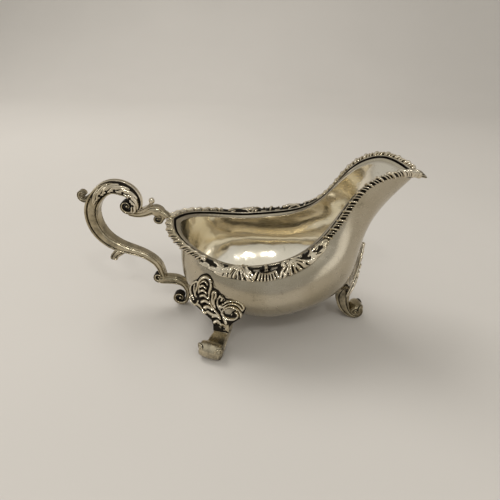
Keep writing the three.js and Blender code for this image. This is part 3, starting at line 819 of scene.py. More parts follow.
# ---------------------------------------------------------- gadrooned borders
def lobe_height(ph, k=1.0):
    """One repeat: a fat lobe, then two thin reeds. Returns height 0..1 and outward reach."""
    ph = ph % 1.0
    H = np.zeros_like(ph)
    R = np.zeros_like(ph)
    for c, hw, h, r in ((0.195, 0.185, 1.0, 1.0), (0.530, 0.104, 0.84, 0.6), (0.792, 0.108, 0.88, 0.66)):
        d = np.abs((ph - c + 0.5) % 1.0 - 0.5)
        x = np.clip(1 - (d / (hw * k)) ** 2, 0, 1)
        H = np.maximum(H, h * x ** 0.46)
        R = np.maximum(R, r * x ** 0.46)
    return H, R


def build_gadroon(name, node, st0, st1, lean, pitch=6.15):
    """Border from rim station st0 to st1 (stations 0..40); lean is how far the outer
    end of a lobe runs along the rim, towards higher stations when positive."""
    s0, s1 = s_of_st(st0), s_of_st(st1)
    L = s1 - s0
    ns = int(L / 0.15)
    s = np.linspace(s0, s1, ns)
    st = st_of_s(s)
    # across: 0 inner edge, 1 outer tip, then back under
    prof = np.array([
        # out, up, how much of the lobe height, how far along the lean, under
        [0.30, -0.45, 0.00, 0.00], [0.36, 0.15, 0.25, 0.00], [0.60, 0.66, 0.9, 0.03], [1.0, 1.02, 1.0, 0.08],
        [1.5, 1.30, 1.0, 0.17], [2.0, 1.46, 1.0, 0.28], [2.5, 1.48, 1.0, 0.40], [2.95, 1.30, 1.0, 0.53],
        [3.32, 0.96, 1.0, 0.66], [3.6, 0.48, 1.0, 0.78], [3.74, -0.06, 1.0, 0.88], [3.72, -0.58, 0.95, 0.96],
        [3.5, -1.04, 0.8, 1.0], [3.1, -1.36, 0.4, 1.0], [2.6, -1.54, 0.1, 1.0], [1.9, -1.6, 0.0, 1.0],
        [1.0, -1.5, 0.0, 1.0], [0.45, -1.15, 0.0, 1.0]])
    # refine the profile
    pr = spline_open(np.vstack([prof, prof[:1]]), n=46)[:-1]
    m = len(pr)
    dP = np.gradient(np.vstack([pr[-1:], pr, pr[:1]])[:, :2], axis=0)[1:-1]
    nn = np.stack([-dP[:, 1], dP[:, 0]], 1)
    nn /= np.linalg.norm(nn, axis=1)[:, None]
    cen = np.array([1.9, -0.2])
    if ((pr[:, :2] - cen) * nn).sum() < 0:
        nn = -nn
    endk = np.clip(np.minimum(s - s0, s1 - s) / 1.6, 0, 1)
    taper = 0.40 + 0.60 * np.sqrt(1 - (1 - endk) ** 2)
    p, n = rim_at(st)
    tg = rim_curve(st, 1)
    tg /= np.linalg.norm(tg, axis=1)[:, None]
    up3 = np.cross(tg, n)
    up3 *= np.sign(up3[:, 2])[:, None]
    V = np.zeros((ns, m, 3))
    C = np.zeros((ns, m))
    # the lobes are counted from the start of each span, st0
    for j in range(m):
        o, u, hf, lf = pr[j]
        ph = (s - s0 - lean * lf) / pitch
        H, R = lobe_height(ph, 1.0 if 'near_fore' in name else 0.88)
        if 'near_fore' not in name:
            H = np.where(H > 0, H ** 1.35, 0)
        low = -0.95 * np.clip(hf, 0, 1)
        d = low * (1.0 if 'near_fore' in name else 1.15) + (1.9 if 'near_fore' in name else 2.25) * H * np.clip(hf, 0, 1) * (0.62 + 0.38 * R)
        oo = (o + nn[j, 0] * d) * taper
        uu = (u + nn[j, 1] * d) * taper
        V[:, j] = p + n * oo[:, None] + up3 * uu[:, None]
        # cav between the lobes is tarnish in the hollows; the extra dark band on the inner edge and underside (hf below
        # 0.12, out below 1.2) is painted shade in the gap above the lip
        C[:, j] = (0.92 * np.clip((0.52 - H) * 2.0, 0, 1) if 'near_fore' in name else np.clip((0.66 - H) * 2.3, 0, 1)) * np.clip(hf * 1.4, 0, 1) + 0.9 * (np.clip(0.12 - hf, 0, 0.12) / 0.12) * (1 if o < 1.2 else 0)
    F = grid_faces(ns, m, wrap_v=True)
    if vol_of(V, F) < 0:
        F = F[:, ::-1]
    V = V.reshape(-1, 3)
    k0, k1 = len(V), len(V) + 1
    c0, c1 = V[:m].mean(0), V[-m:].mean(0)
    V = np.vstack([V, c0, c1])
    FF = F.tolist()
    edges = set()
    for q in F[:m].tolist() + F[-m:].tolist():
        for i in range(4):
            edges.add((q[i], q[(i + 1) % 4]))
    b = (ns - 1) * m
    for tri in [[k0, j, (j + 1) % m] for j in range(m)] + [[k1, b + j, b + (j + 1) % m] for j in range(m)]:
        bad = any((tri[i], tri[(i + 1) % 3]) in edges for i in range(3))
        FF.append(tri[::-1] if bad else tri)
    ob = make(name, V, FF, ["cast"], cav=np.r_[C.ravel(), .5, .5])
    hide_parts(node)
    return ob

# ---------------------------------------------------------------- the handle
def xz(a, b, y):
    a, b, y = np.broadcast_arrays(a, b, y)
    return np.stack([a, y, b], -1)


def polar(c, r, deg):
    return [c[0] + r * math.cos(math.radians(deg)), c[1] + r * math.sin(math.radians(deg))]


def volute_rows(c, a0, a1, r0, r1, h0, h1, w0, w1, n=9, hp=1.0):
    """Control rows (a, b, half thickness, half width) of a spiral around c."""
    out = []
    for k in np.linspace(0, 1, n):
        r = r0 + (r1 - r0) * k ** hp
        out.append(polar(c, r, a0 + (a1 - a0) * k) + [h0 + (h1 - h0) * k ** 0.8, w0 + (w1 - w0) * k])
    return out


EYE1, EYE2, EYE3, EYE0 = (-76.9, 77.7), (-61.5, 23.6), (-47.1, 7.0), (-57.7, 69.2)


def build_handle():
    main = [[-79.2, 88.6, 3.5, 3.7], [-85.2, 89.8, 3.7, 3.8],
            [-91.4, 87.4, 4.0, 3.8], [-97.2, 82, 4.3, 3.9], [-100.8, 75.2, 4.5, 4], [-101.6, 68.2, 4.6, 4], [-100.3, 61.4, 4.6, 4.0],
            [-96.8, 54.9, 4.4, 3.9], [-91.2, 49.7, 4.1, 3.7], [-84.6, 46.4, 3.5, 3.5], [-77.4, 44.3, 3.0, 3.2],
            [-70.3, 41.7, 2.7, 3.0], [-64.3, 37.9, 2.55, 2.9], [-60.3, 32.8, 2.4, 2.8]]
    top = [polar(EYE1, r_, a_) + [h_, 3.5 if a_ > 0 else 3.3] for a_, r_, h_ in (
        (72, 9.0, 3.1), (42, 6.9, 2.65), (8, 5.6, 2.1), (-34, 4.8, 1.65), (-78, 4.3, 1.4), (-122, 3.9, 1.25), (-168, 3.5, 1.15), (-214, 3.1, 1.05),
        (-262, 2.65, 0.95), (-310, 2.2, 0.85), (-360, 1.8, 0.78), (-430, 1.3, 0.65))][::-1]
    bot = volute_rows(EYE2, 38, -400, 4.1, 1.4, 2.0, 0.72, 2.7, 2.6, n=13, hp=0.8)
    bag = Bag()
    V, F, C = sweep(top + main + bot, sec_scroll(), xz, n=700, curl=(0.20, 0.0, 0.62), curl2=(0.87, 1.0, 0.62))
    bag.add(V, F, np.maximum(C * 0.86, 0.12))
    for e, r, hw in ((EYE1, 1.45, 3.5), (EYE2, 1.2, 2.9)):
        V, F, C = sweep([[e[0] - 0.01, e[1], r, hw], [e[0] + 0.01, e[1], r, hw]], sec_plain(), xz, n=3, round_ends=(False, False)) if False else blob((e[0], 0, e[1]), (r, hw, r), cav=0.0)
        bag.add(V, F, np.maximum(C * 0.86, 0.12))
    ob = bag.make("handle_main_scroll", ["scroll"])
    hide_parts("handle_scroll")

    # upper bracket: leaves the underside of the big volute and turns into a small one at the rim
    bag = Bag()
    rows = [[-77.4, 72.2, 1.3, 2.0], [-74.3, 72.0, 1.75, 2.3], [-70.6, 71.9, 1.9, 2.4], [-65.4, 73.2, 2.3, 2.5], [-61.4, 75.0, 2.8, 2.7],
            [-58.2, 75.2, 3.2, 2.8], [-55.4, 73.4, 2.9, 2.6], [-54.0, 70.4, 1.8, 2.2]]
    rows += volute_rows(EYE0, 0, -420, 3.1, 0.95, 1.15, 0.42, 2.1, 2.0, n=12, hp=0.85)
    V, F, C = sweep(rows, sec_scroll(bead=0.34, cen=0.5, gro=0.66), xz, n=420, curl=(0.60, 1.0, 0.55))
    bag.add(V, F, np.maximum(C * 0.86, 0.12))
    bag.add(*blob((EYE0[0], 0, EYE0[1]), (0.95, 2.35, 0.95)))
    # tongue that solders to the rim
    V, F, C = sweep([[-57.0, 74.4, 2.2, 2.6], [-53.4, 72.8, 2.2, 3.0], [-50.2, 70.6, 1.6, 3.4]], sec_plain(), xz, n=40)
    bag.add(V, F, np.maximum(C * 0.86, 0.12))
    bag.add(*blob((-58.0, 0, 74.2), (4.0, 3.2, 3.7), nu=32, nv=44))
    ob = bag.make("handle_rim_bracket", ["scroll"])
    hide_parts("handle_upper_bracket")

    # bud on the bracket: a curled leaf that ends in a ball
    bag = Bag()
    V, F, C = sweep([[-72.5, 73.2, 0.7, 1.6], [-69.4, 74.2, 1.15, 2.3], [-66.0, 75.6, 1.3, 2.3], [-63.2, 77.4, 1.15, 1.8], [-61.4, 79.6, 0.95, 1.3], [-60.8, 81.2, 0.9, 1.2]],
                    sec_scroll(bead=0.5, cen=0.3, gro=0.5), xz, n=120)
    bag.add(V, F, np.maximum(C * 0.86, 0.12))
    bag.add(*blob((-60.8, 0, 81.4), (1.9, 1.9, 2.1)))
    ob = bag.make("handle_bud", ["cast"])
    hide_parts("handle_bracket_bud")

    # lower bracket
    bag = Bag()
    rows = [[-62.5, 21.4, 1.6, 2.4], [-60, 21.2, 2.6, 2.7], [-56.6, 21.8, 3.1, 2.9], [-52.2, 22.0, 3.1, 3.0], [-48.0, 21.5, 3.0, 3.0], [-44.4, 19.6, 2.5, 3.0], [-41.9, 16.0, 2.0, 3.0], [-41.0, 11.6, 1.7, 3.0], [-41.9, 7.0, 1.5, 3.0]]
    for a_, r_, h_ in ((-42, 4.7, 1.4), (-85, 4.25, 1.35), (-130, 4.05, 1.3), (-178, 3.8, 1.25), (-225, 3.45, 1.1), (-272, 3.0, 1.0), (-320, 2.5, 0.9), (-368, 2.0, 0.8), (-420, 1.5, 0.7)):
        rows.append(polar(EYE3, r_, a_) + [h_, 2.95])
    V, F, C = sweep(rows, sec_scroll(bead=0.34, cen=0.5, gro=0.66), xz, n=460, curl=(0.50, 1.0, 0.62))
    bag.add(V, F, np.maximum(C * 0.86, 0.12))
    bag.add(*blob((EYE3[0], 0, EYE3[1]), (1.45, 3.35, 1.45)))
    ob = bag.make("handle_base_bracket", ["scroll"])
    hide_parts("handle_lower_bracket")

    # spurs
    bag = Bag()
    V, F, C = sweep([[-99.0, 83.6, 2.2, 2.4], [-101.2, 82.0, 2.1, 2.5], [-103.6, 80.7, 1.8, 2.6], [-106.0, 80.7, 1.5, 2.6], [-107.7, 82.2, 1.3, 2.5],
                     [-107.7, 84.5, 1.2, 2.4], [-106.1, 85.9, 1.1, 2.3], [-104.3, 85.2, 0.9, 2.1], [-104.0, 83.6, 0.7, 2.0]],
                    sec_scroll(bead=0.4, cen=0.4, gro=0.7), xz, n=200)
    bag.add(V, F, np.maximum(C, 0.22))
    ob = bag.make("handle_top_spur", ["scroll"])
    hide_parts("handle_thumb_spur")
    bag = Bag()
    V, F, C = sweep([[-82.8, 44.8, 1.6, 2.8], [-86.2, 43.2, 2.6, 2.9], [-89.2, 41.4, 2.7, 2.8], [-91.2, 39.2, 2.5, 2.6], [-92.3, 37.0, 2.2, 2.4], [-92.6, 35.6, 1.6, 2.0]],
                    sec_scroll(bead=0.4, cen=0.4, gro=0.7), xz, n=140)
    bag.add(V, F, np.maximum(C, 0.22))
    bag.add(*blob((-91.2, 0, 36.6), (1.5, 2.3, 1.3)))
    ob = bag.make("handle_under_spur", ["scroll"])
    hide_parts("handle_lower_spur")


def build_leaf_cap():
    """Acanthus leaf lying over the top of the scroll: a thick saddle around its outer side."""
    line = np.array([[-99.6, 79.6, 4.6], [-97.8, 82.4, 5.2], [-93.2, 87.0, 5.6], [-86.6, 90.4, 5.9], [-79.2, 90.2, 6.1], [-73.4, 86.6, 6.1], [-70.6, 81.2, 5.4], [-71.0, 76.6, 4.2], [-72.8, 73.2, 2.4]])
    n, m = 300, 150
    P = even(spline_open(line, n=900), n)
    T = np.gradient(P[:, :2], axis=0)
    T /= np.linalg.norm(T, axis=1)[:, None]
    N = np.stack([-T[:, 1], T[:, 0]], 1)                 # points up/outwards: the path runs clockwise
    u = np.linspace(0, 1, n)
    arc = np.r_[0, np.cumsum(np.linalg.norm(np.diff(P[:, :2], axis=0), axis=1))]
    L = arc[-1]
    ph = np.linspace(-1, 1, m)                           # -1 near flank bottom, 0 crest, +1 far flank
    U, PH = np.meshgrid(u, ph, indexing="ij")
    A = U * L
    W = np.abs(PH)
    # flank reach: the leaf's serrated lower edge
    reach = 104 + 0 * U
    # lobes along the edge
    k = 5.4
    x = A / L * k
    fr = (x + 0.12) % 1.0
    scal = np.abs(np.sin(np.pi * fr)) ** 0.5
    edge = np.clip((W - 0.70) / 0.30, 0, 1)
    R = P[:, 2][:, None]
    grow = np.clip(np.minimum(U / 0.10, (1 - U) / 0.07), 0, 1)
    grow = np.sqrt(1 - (1 - grow) ** 2)
    H = np.full_like(U, 0.25)
    # plain raised rim along the crest, then a deep dark channel
    H = np.where(W < 0.17, 1.5, H)
    H = np.where((W >= 0.17) & (W < 0.34), -0.9, H)
    # lower rim of the leaf: a thin bead that follows the serrations
    low = 0.93 - 0.05 * scal
    H = np.maximum(H, 1.25 * np.clip(1 - ((W - low) / 0.055) ** 2, 0, 1) ** 0.5)
    # curved ribs, nearly along the leaf, fanning down from the crest channel to the edge
    for q in range(-1, 8):
        a0 = L * (0.16 + 0.135 * q)
        pts = [(a0 + 9.5, 0.42), (a0 + 6.4, 0.50), (a0 + 3.0, 0.62), (a0 - 0.6, 0.80), (a0 - 2.6, 0.93)]
        c = curve2(pts, 34) * [1, 10.0]
        d, t = seg_dist(A, W * 10.0, c)
        w = 0.55 + 0.55 * np.sin(np.pi * np.clip(t * 0.9 + 0.1, 0, 1))
        rr = np.clip(1 - (d / w) ** 2, 0, 1) ** 0.55 * (1.15 + 0.4 * t)
        H = np.maximum(H, rr * (W > 0.36))
        pts = [(a0 + 8.2, 0.56), (a0 + 5.0, 0.66), (a0 + 2.0, 0.80), (a0 + 0.6, 0.90)]
        c = curve2(pts, 30) * [1, 10.0]
        d, t = seg_dist(A, W * 10.0, c)
        rr = np.clip(1 - (d / 0.42) ** 2, 0, 1) ** 0.55 * 1.1
        H = np.maximum(H, rr * (W > 0.36))
    # drilled eyes between the lobes
    for q in range(6):
        a0 = L * (0.19 + 0.135 * q)
        d = np.hypot(A - a0, (W - 0.86) * 10.0)
        H -= 2.2 * np.exp(-(d / 0.8) ** 2)
    H = blur(H, 0.8, 0.8)
    ang = np.radians(W * reach) * np.sign(PH)
    e = 0.25 * scal * edge
    base = R * (0.80 + 0.05 * grow)
    rad = base + (0.10 + 0.62 * H * grow)
    wy = (3.9 + 0.35 * grow)[:, :] / np.maximum(base, 1e-3)
    off_n = np.cos(ang)
    off_y = np.sin(ang)
    lo = -0.6
    def place(radius):
        nn = radius * off_n + lo
        yy = radius * off_y * wy
        a = P[:, 0][:, None] + N[:, 0][:, None] * (nn - 1.2)
        b = P[:, 1][:, None] + N[:, 1][:, None] * (nn - 1.2)
        return np.stack([a, yy, b], -1)
    front = place(rad)
    back = place(base * 0.80 - 0.35)
    C = np.maximum(cavity(H, (3, 3), 1.4), np.clip((0.72 - H) * 1.6, 0, 1))
    V, F, CC = sheet(front, back, C=C)
    ob = make("handle_leaf", V, F, ["cast"], cav=CC)
    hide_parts("handle_leaf_cap")
    return ob

# side mount ornament: lines as (along the rim, across) in mm from the mount's aft end
MOUNT_RIBS = [
    ([(-2.23, 2.44), (-0.39, 2.52), (1.55, 2.88)], 0.90, 1.00, 0.90, 1.20),
    ([(-1.36, 5.38), (1.44, 5.86), (4.57, 5.53), (8.24, 5.85)], 0.70, 0.90, 0.80, 1.10),
    ([(2.09, 4.38), (6.08, 4.85), (10.07, 6.13), (13.08, 6.69)], 0.60, 0.70, 0.60, 0.80),
    ([(6.08, 1.18), (8.45, 2.46), (11.14, 4.09), (13.72, 5.02)], 0.70, 0.80, 0.90, 1.20),
    ([(7.48, -0.37), (10.82, 1.15), (13.51, 3.68)], 0.60, 0.50, 0.90, 1.00),
    ([(15.23, 4.42), (14.05, 5.8), (10.82, 6.77)], 0.60, 0.80, 0.90, 1.20),
    ([(22.37, 1.71), (18.43, 3.73), (15.66, 5.81), (12.0, 6.63)], 0.50, 0.80, 1.00, 1.40),
    ([(22.58, 2.54), (19.49, 4.65), (17.9, 6.77), (16.62, 7.39)], 0.50, 0.75, 1.20, 1.40),
    ([(22.9, 2.93), (20.98, 5.22), (20.13, 7.61)], 0.55, 0.80, 1.30, 1.60),
    ([(22.9, 2.93), (22.26, 5.59), (22.47, 8.28)], 0.55, 0.75, 1.40, 1.60),
    ([(23.43, 3.65), (23.96, 5.92), (25.02, 8.63)], 0.55, 0.80, 1.40, 1.50),
    ([(23.53, 3.27), (25.44, 5.92), (27.45, 7.44), (30.07, 8.67)], 0.70, 1.15, 1.60, 1.70),
    ([(23.0, -0.46), (26.08, 3.19), (28.5, 5.36), (30.17, 7.13)], 0.70, 0.60, 1.30, 1.30),
    ([(25.44, -0.47), (27.77, 2.1), (28.92, 4.17)], 0.70, 0.50, 1.20, 0.90),
    ([(16.41, 4.43), (18.75, 3.07), (21.83, -0.46), (25.97, -0.47)], 0.50, 0.60, 0.70, 1.00),
    ([(49.04, 3.79), (46.47, 5.77), (44.93, 7.42), (44.31, 9.11)], 0.60, 0.90, 1.30, 1.50),
    ([(49.75, 4.04), (48.33, 6.12), (46.78, 8.03), (46.16, 9.11)], 0.70, 1.10, 1.50, 1.70),
    ([(50.16, 3.83), (49.86, 6.45), (50.06, 8.99)], 0.55, 0.80, 1.50, 1.60),
    ([(50.47, 3.63), (51.49, 6.19), (52.81, 8.87)], 0.55, 0.75, 1.50, 1.50),
    ([(50.77, 3.49), (53.52, 6.09), (55.35, 8.36)], 0.55, 0.80, 1.40, 1.40),
    ([(51.49, 3.28), (55.35, 5.54), (58.4, 7.77)], 0.55, 0.75, 1.30, 1.30),
    ([(52.1, 2.94), (57.18, 5.31), (60.41, 6.68), (63.22, 6.71)], 0.50, 0.80, 1.10, 1.30),
    ([(45.03, 4.4), (47.09, 2.51), (49.14, 3.2), (49.35, 4.64)], 0.80, 0.70, 1.20, 1.00),
    ([(50.37, -0.47), (53.22, 1.77), (56.98, 2.26)], 0.45, 0.50, 0.70, 0.90),
    ([(56.78, 1.95), (60.41, -0.42), (63.52, -0.4), (62.92, 2.86), (60.81, 4.54)], 0.55, 0.60, 1.00, 1.20),
    ([(62.82, 5.86), (66.32, 5.97), (71.41, 6.37)], 0.70, 0.85, 1.20, 1.00),
    ([(62.82, 3.43), (65.92, 2.74), (69.02, 2.32)], 0.60, 0.50, 0.80, 1.00),
    ([(67.32, 1.32), (67.22, 3.27), (66.12, 4.0)], 0.80, 0.50, 1.10, 0.80),
    ([(69.52, 2.91), (71.7, 2.48), (73.69, 3.17), (73.99, 4.58)], 0.70, 0.60, 1.00, 1.10),
    ([(71.11, 4.35), (72.4, 5.69), (72.2, 6.44)], 0.70, 0.60, 1.00, 0.90),
    ([(74.98, 3.01), (76.07, 4.05)], 0.80, 0.80, 0.90, 0.90),
]
MOUNT_HOLLOWS = [
    ([(3.28, 1.84), (5.65, 3.37)], 1.00, 1.20),
    ([(11.9, 1.45), (14.91, 3.4)], 0.80, 1.30),
    ([(4.25, 6.45), (7.48, 3.9)], 0.50, 0.80),
    ([(29.13, 0.98), (30.59, 5.2), (31.74, 7.04)], 1.60, 1.70),
    ([(31.53, 3.07), (32.68, 5.3)], 1.40, 1.50),
    ([(40.07, 6.21), (41.73, 5.25), (43.48, 3.48)], 1.60, 1.70),
    ([(43.69, 6.91), (44.41, 4.55)], 0.90, 1.20),
    ([(61.11, 0.28), (59.01, 3.58)], 1.00, 1.50),
    ([(56.37, 4.13), (61.42, 5.42)], 0.50, 1.00),
    ([(66.12, 4.63), (69.82, 4.06)], 0.50, 0.90),
]
SHELL_APEX = (36.76, -0.49)
SHELL_ENDS = [(31.01, 7.69), (32.79, 8.94), (34.46, 9.38), (36.34, 9.61), (38.11, 9.61), (39.76, 9.47), (41.42, 9.24), (42.97, 8.67)]

MOUNT_PLATES = [([(12.0, 6.8), (16.73, 5.53), (20.88, 4.77), (24.81, 5.51), (29.23, 7.77)], 2.6, 0.95), ([(16.51, 4.73), (20.56, 3.5), (25.87, 2.21)], 1.2, 0.8), ([(45.13, 8.15), (48.53, 6.57), (52.91, 6.31), (58.6, 6.67), (62.92, 6.63)], 2.4, 0.95), ([(45.65, 3.72), (49.14, 3.53)], 1.1, 0.8), ([(62.62, 5.59), (67.02, 5.92), (71.8, 6.33)], 1.2, 0.9), ([(-0.61, 5.58), (5.22, 5.59), (8.88, 5.93)], 0.9, 0.7), ([(7.48, 1.94), (11.47, 3.56)], 0.9, 0.7), ([(70.61, 2.97), (73.39, 4.25), (75.78, 4.09)], 1.5, 0.7), ([(56.78, 3.12), (63.12, -0.35)], 1.0, 0.6)]
MOUNT_SLITS = [([(16.83, 7.77), (17.05, 6.4)], 0.22, 1.5), ([(19.28, 8.17), (19.39, 6.87), (20.67, 5.01)], 0.2, 1.4), ([(18.32, 6.55), (19.81, 4.6)], 0.2, 1.3), ([(21.73, 8.68), (21.73, 7.22)], 0.2, 1.4), ([(23.96, 8.96), (23.75, 7.4), (22.69, 5.55)], 0.18, 1.2), ([(26.72, 9.18), (25.97, 7.77)], 0.24, 1.5), ([(30.07, 9.13), (28.71, 7.95)], 0.2, 1.2), ([(25.13, 5.91), (23.85, 3.86)], 0.2, 1.0), ([(14.15, 7.67), (14.58, 6.72)], 0.2, 1.2), ([(44.93, 9.83), (45.65, 8.73)], 0.18, 1.2), ([(48.12, 9.62), (48.43, 8.16)], 0.22, 1.4), ([(46.27, 7.25), (48.43, 5.52)], 0.18, 0.9), ([(51.38, 9.56), (51.08, 7.63), (50.47, 6.17)], 0.24, 1.5), ([(54.34, 9.26), (52.81, 7.02)], 0.24, 1.5), ([(57.39, 8.91), (55.25, 6.74), (53.63, 5.7)], 0.24, 1.5), ([(60.51, 8.31), (58.6, 6.67)], 0.22, 1.4), ([(56.47, 5.79), (53.42, 4.25)], 0.2, 1.0), ([(65.22, 5.48), (68.42, 5.74)], 0.16, 0.8), ([(47.4, 3.36), (47.91, 5.07)], 0.18, 1.0), ([(26.19, 2.41), (28.19, 4.69)], 0.2, 1.2)]
# rear header ornament: lines as (across, height) in mm
REAR_RIBS = [
    ([(-14.23, 35.07), (-13.4, 39.93), (-11.92, 44.71), (-9.25, 47.74), (-6.21, 48.75), (-3.9, 47.37), (-3.17, 43.88), (-4.09, 39.75), (-3.44, 36.08)], 0.95, 0.95, 1.20, 1.30),
    ([(-11.56, 37.36), (-11.56, 41.31), (-9.99, 44.71), (-7.59, 45.9), (-5.66, 44.43)], 0.55, 0.50, 0.90, 0.90),
    ([(-15.24, 31.48), (-18.01, 34.79), (-18.1, 39.01), (-15.7, 42.41), (-13.77, 43.7)], 0.80, 0.70, 1.00, 1.00),
    ([(-15.24, 40.85), (-15.33, 37.27), (-13.49, 34.06)], 0.60, 0.60, 0.80, 0.80),
    ([(-18.38, 32.04), (-16.26, 29.19), (-13.31, 29.1), (-11.74, 31.85)], 0.70, 0.60, 0.90, 0.90),
    ([(-11.83, 29.92), (-8.24, 28.45), (-6.21, 26.43), (-3.81, 29.1)], 0.70, 0.60, 0.90, 0.90),
    ([(-5.38, 28.73), (-1.97, 27.26), (1.44, 26.89)], 0.70, 0.80, 1.00, 1.00),
    ([(-10.73, 41.49), (-8.7, 42.87), (-6.12, 41.68)], 0.75, 0.60, 1.00, 1.00),
    ([(-10.82, 38.55), (-8.33, 39.93), (-5.66, 38.83)], 0.85, 0.70, 1.10, 1.10),
    ([(-10.17, 35.71), (-7.68, 36.99), (-4.83, 36.08)], 0.85, 0.70, 1.10, 1.10),
    ([(-8.88, 32.49), (-6.3, 33.87), (-3.35, 33.14)], 0.95, 0.75, 1.20, 1.20),
    ([(-6.58, 29.83), (-3.72, 30.84), (-0.95, 29.83)], 0.95, 0.80, 1.20, 1.20),
    ([(-0.03, 25.88), (2.09, 26.8), (4.85, 25.7)], 0.90, 0.80, 1.00, 1.00),
    ([(1.26, 22.67), (3.56, 23.86), (5.87, 22.03)], 0.90, 0.80, 1.00, 1.00),
    ([(-3.26, 36.17), (-2.06, 32.59), (1.35, 29.46), (4.76, 26.25)], 0.75, 0.80, 1.10, 1.10),
    ([(-1.23, 32.77), (-1.97, 36.81), (-1.32, 40.85), (-0.03, 41.03), (0.43, 38.65), (-0.49, 35.52), (0.52, 31.39)], 1.00, 0.70, 1.30, 1.10),
    ([(4.39, 36.81), (5.04, 38.28), (3.66, 39.11), (1.9, 37.64), (1.54, 35.07), (2.73, 31.85), (4.95, 29.19)], 0.90, 0.60, 1.30, 1.00),
    ([(3.75, 32.86), (4.3, 32.49)], 0.95, 0.95, 1.30, 1.30),
    ([(5.31, 34.61), (8.45, 36.9), (12.6, 37.45), (15.82, 35.98), (17.67, 33.05), (17.11, 31.58)], 0.75, 0.65, 1.40, 1.20),
    ([(5.59, 32.77), (8.91, 35.25), (12.69, 35.43), (15.45, 33.69), (16.75, 31.94)], 0.60, 0.60, 1.30, 1.20),
    ([(5.31, 28.91), (6.42, 31.58), (9.37, 33.41), (13.24, 32.59), (16.01, 30.38), (16.84, 27.44)], 0.75, 0.65, 1.50, 1.30),
    ([(5.41, 29.28), (7.16, 26.98), (10.94, 26.07), (14.07, 26.8), (14.99, 28.64), (13.52, 30.2), (11.58, 29.83), (10.94, 28.64)], 0.75, 0.55, 1.40, 1.20),
    ([(6.61, 26.53), (8.17, 23.68), (8.82, 19.73)], 0.90, 0.80, 0.90, 0.80),
]
REAR_GROOVES = [
    ([(-2.61, 45.81), (-1.32, 43.7), (1.44, 42.87), (3.75, 40.85), (6.14, 38.83), (9.56, 38.1), (13.61, 38.19)], 0.55, 1.60),
    ([(5.59, 37.45), (5.31, 35.43)], 0.60, 1.30),
    ([(1.07, 40.39), (1.81, 39.11), (0.89, 36.17)], 0.35, 1.20),
    ([(7.16, 28.27), (5.96, 30.66)], 0.30, 0.90),
    ([(-13.31, 43.97), (-12.11, 45.81)], 0.35, 0.90),
    ([(-3.81, 38.55), (-3.35, 35.43)], 0.40, 1.00),
    ([(-10.91, 42.78), (-9.07, 44.06), (-6.67, 42.87)], 0.36, 1.00),
    ([(-11.0, 39.93), (-8.79, 41.31), (-6.21, 40.3)], 0.36, 1.10),
    ([(-10.73, 37.09), (-8.14, 38.46), (-5.19, 37.36)], 0.36, 1.10),
    ([(-9.62, 34.15), (-7.04, 35.43), (-4.0, 34.61)], 0.40, 1.10),
    ([(-7.59, 31.12), (-4.92, 32.4), (-2.24, 31.39)], 0.40, 1.10),
    ([(-5.38, 28.36), (-2.34, 29.46), (0.24, 28.27)], 0.45, 1.10),
    ([(-0.22, 24.87), (2.36, 25.52), (5.31, 23.68), (7.25, 19.55), (8.63, 17.34), (10.2, 16.79)], 0.42, 1.20),
    ([(1.07, 20.28), (3.1, 21.38), (5.22, 20.01)], 0.42, 1.10),
    ([(-5.75, 41.86), (-4.92, 37.64)], 0.45, 0.90),
    ([(-2.61, 38.92), (-2.8, 34.97), (-0.59, 31.76), (3.47, 28.27), (6.24, 24.69)], 0.42, 1.20),
    ([(0.71, 36.44), (1.26, 32.77), (4.02, 29.65)], 0.50, 1.20),
    ([(7.16, 19.55), (7.21, 19.6)], 0.50, 0.90),
    ([(7.99, 29.92), (11.49, 30.57)], 1.25, 1.90),
    ([(7.43, 29.01), (9.56, 28.91)], 1.10, 1.90),
    ([(-1.97, 44.8), (-1.51, 42.32)], 0.50, 0.50),
    ([(4.3, 35.34), (3.01, 34.06)], 0.40, 0.90),
    ([(14.63, 31.39), (15.73, 29.19)], 0.35, 0.90),
    ([(-13.4, 42.23), (-13.77, 38.55), (-12.57, 35.07)], 0.36, 1.00),
    ([(-16.72, 39.29), (-16.72, 35.98), (-14.6, 32.68)], 0.32, 0.80),
    ([(-16.26, 32.31), (-14.32, 30.57)], 0.40, 0.90),
    ([(-9.16, 30.29), (-6.67, 28.27)], 0.40, 0.90),
    ([(5.68, 33.6), (9.0, 36.08), (12.6, 36.44), (15.64, 34.7), (17.02, 32.59)], 0.26, 0.80),
    ([(5.68, 31.12), (9.19, 34.24), (13.06, 34.06), (15.55, 32.04), (16.75, 30.11)], 0.26, 0.90),
]
REAR_LEFT = [(6.14, 15.05), (0.89, 19.0), (-0.12, 23.4), (-5.29, 26.07), (-10.08, 28.18), (-13.31, 28.64), (-17.45, 29.01), (-19.39, 32.22), (-19.21, 37.54), (-17.36, 41.95), (-13.86, 44.61), (-11.83, 47.46), (-8.79, 49.3)]
REAR_RIGHT = [(10.48, 15.78), (10.2, 20.65), (12.87, 24.78), (16.65, 26.62), (17.39, 28.91), (18.77, 31.94), (17.67, 35.43), (14.26, 38.1), (9.56, 38.74), (6.14, 39.66), (3.84, 40.76), (1.17, 42.96), (-1.41, 44.61), (-2.71, 47.64), (-5.19, 49.57)]

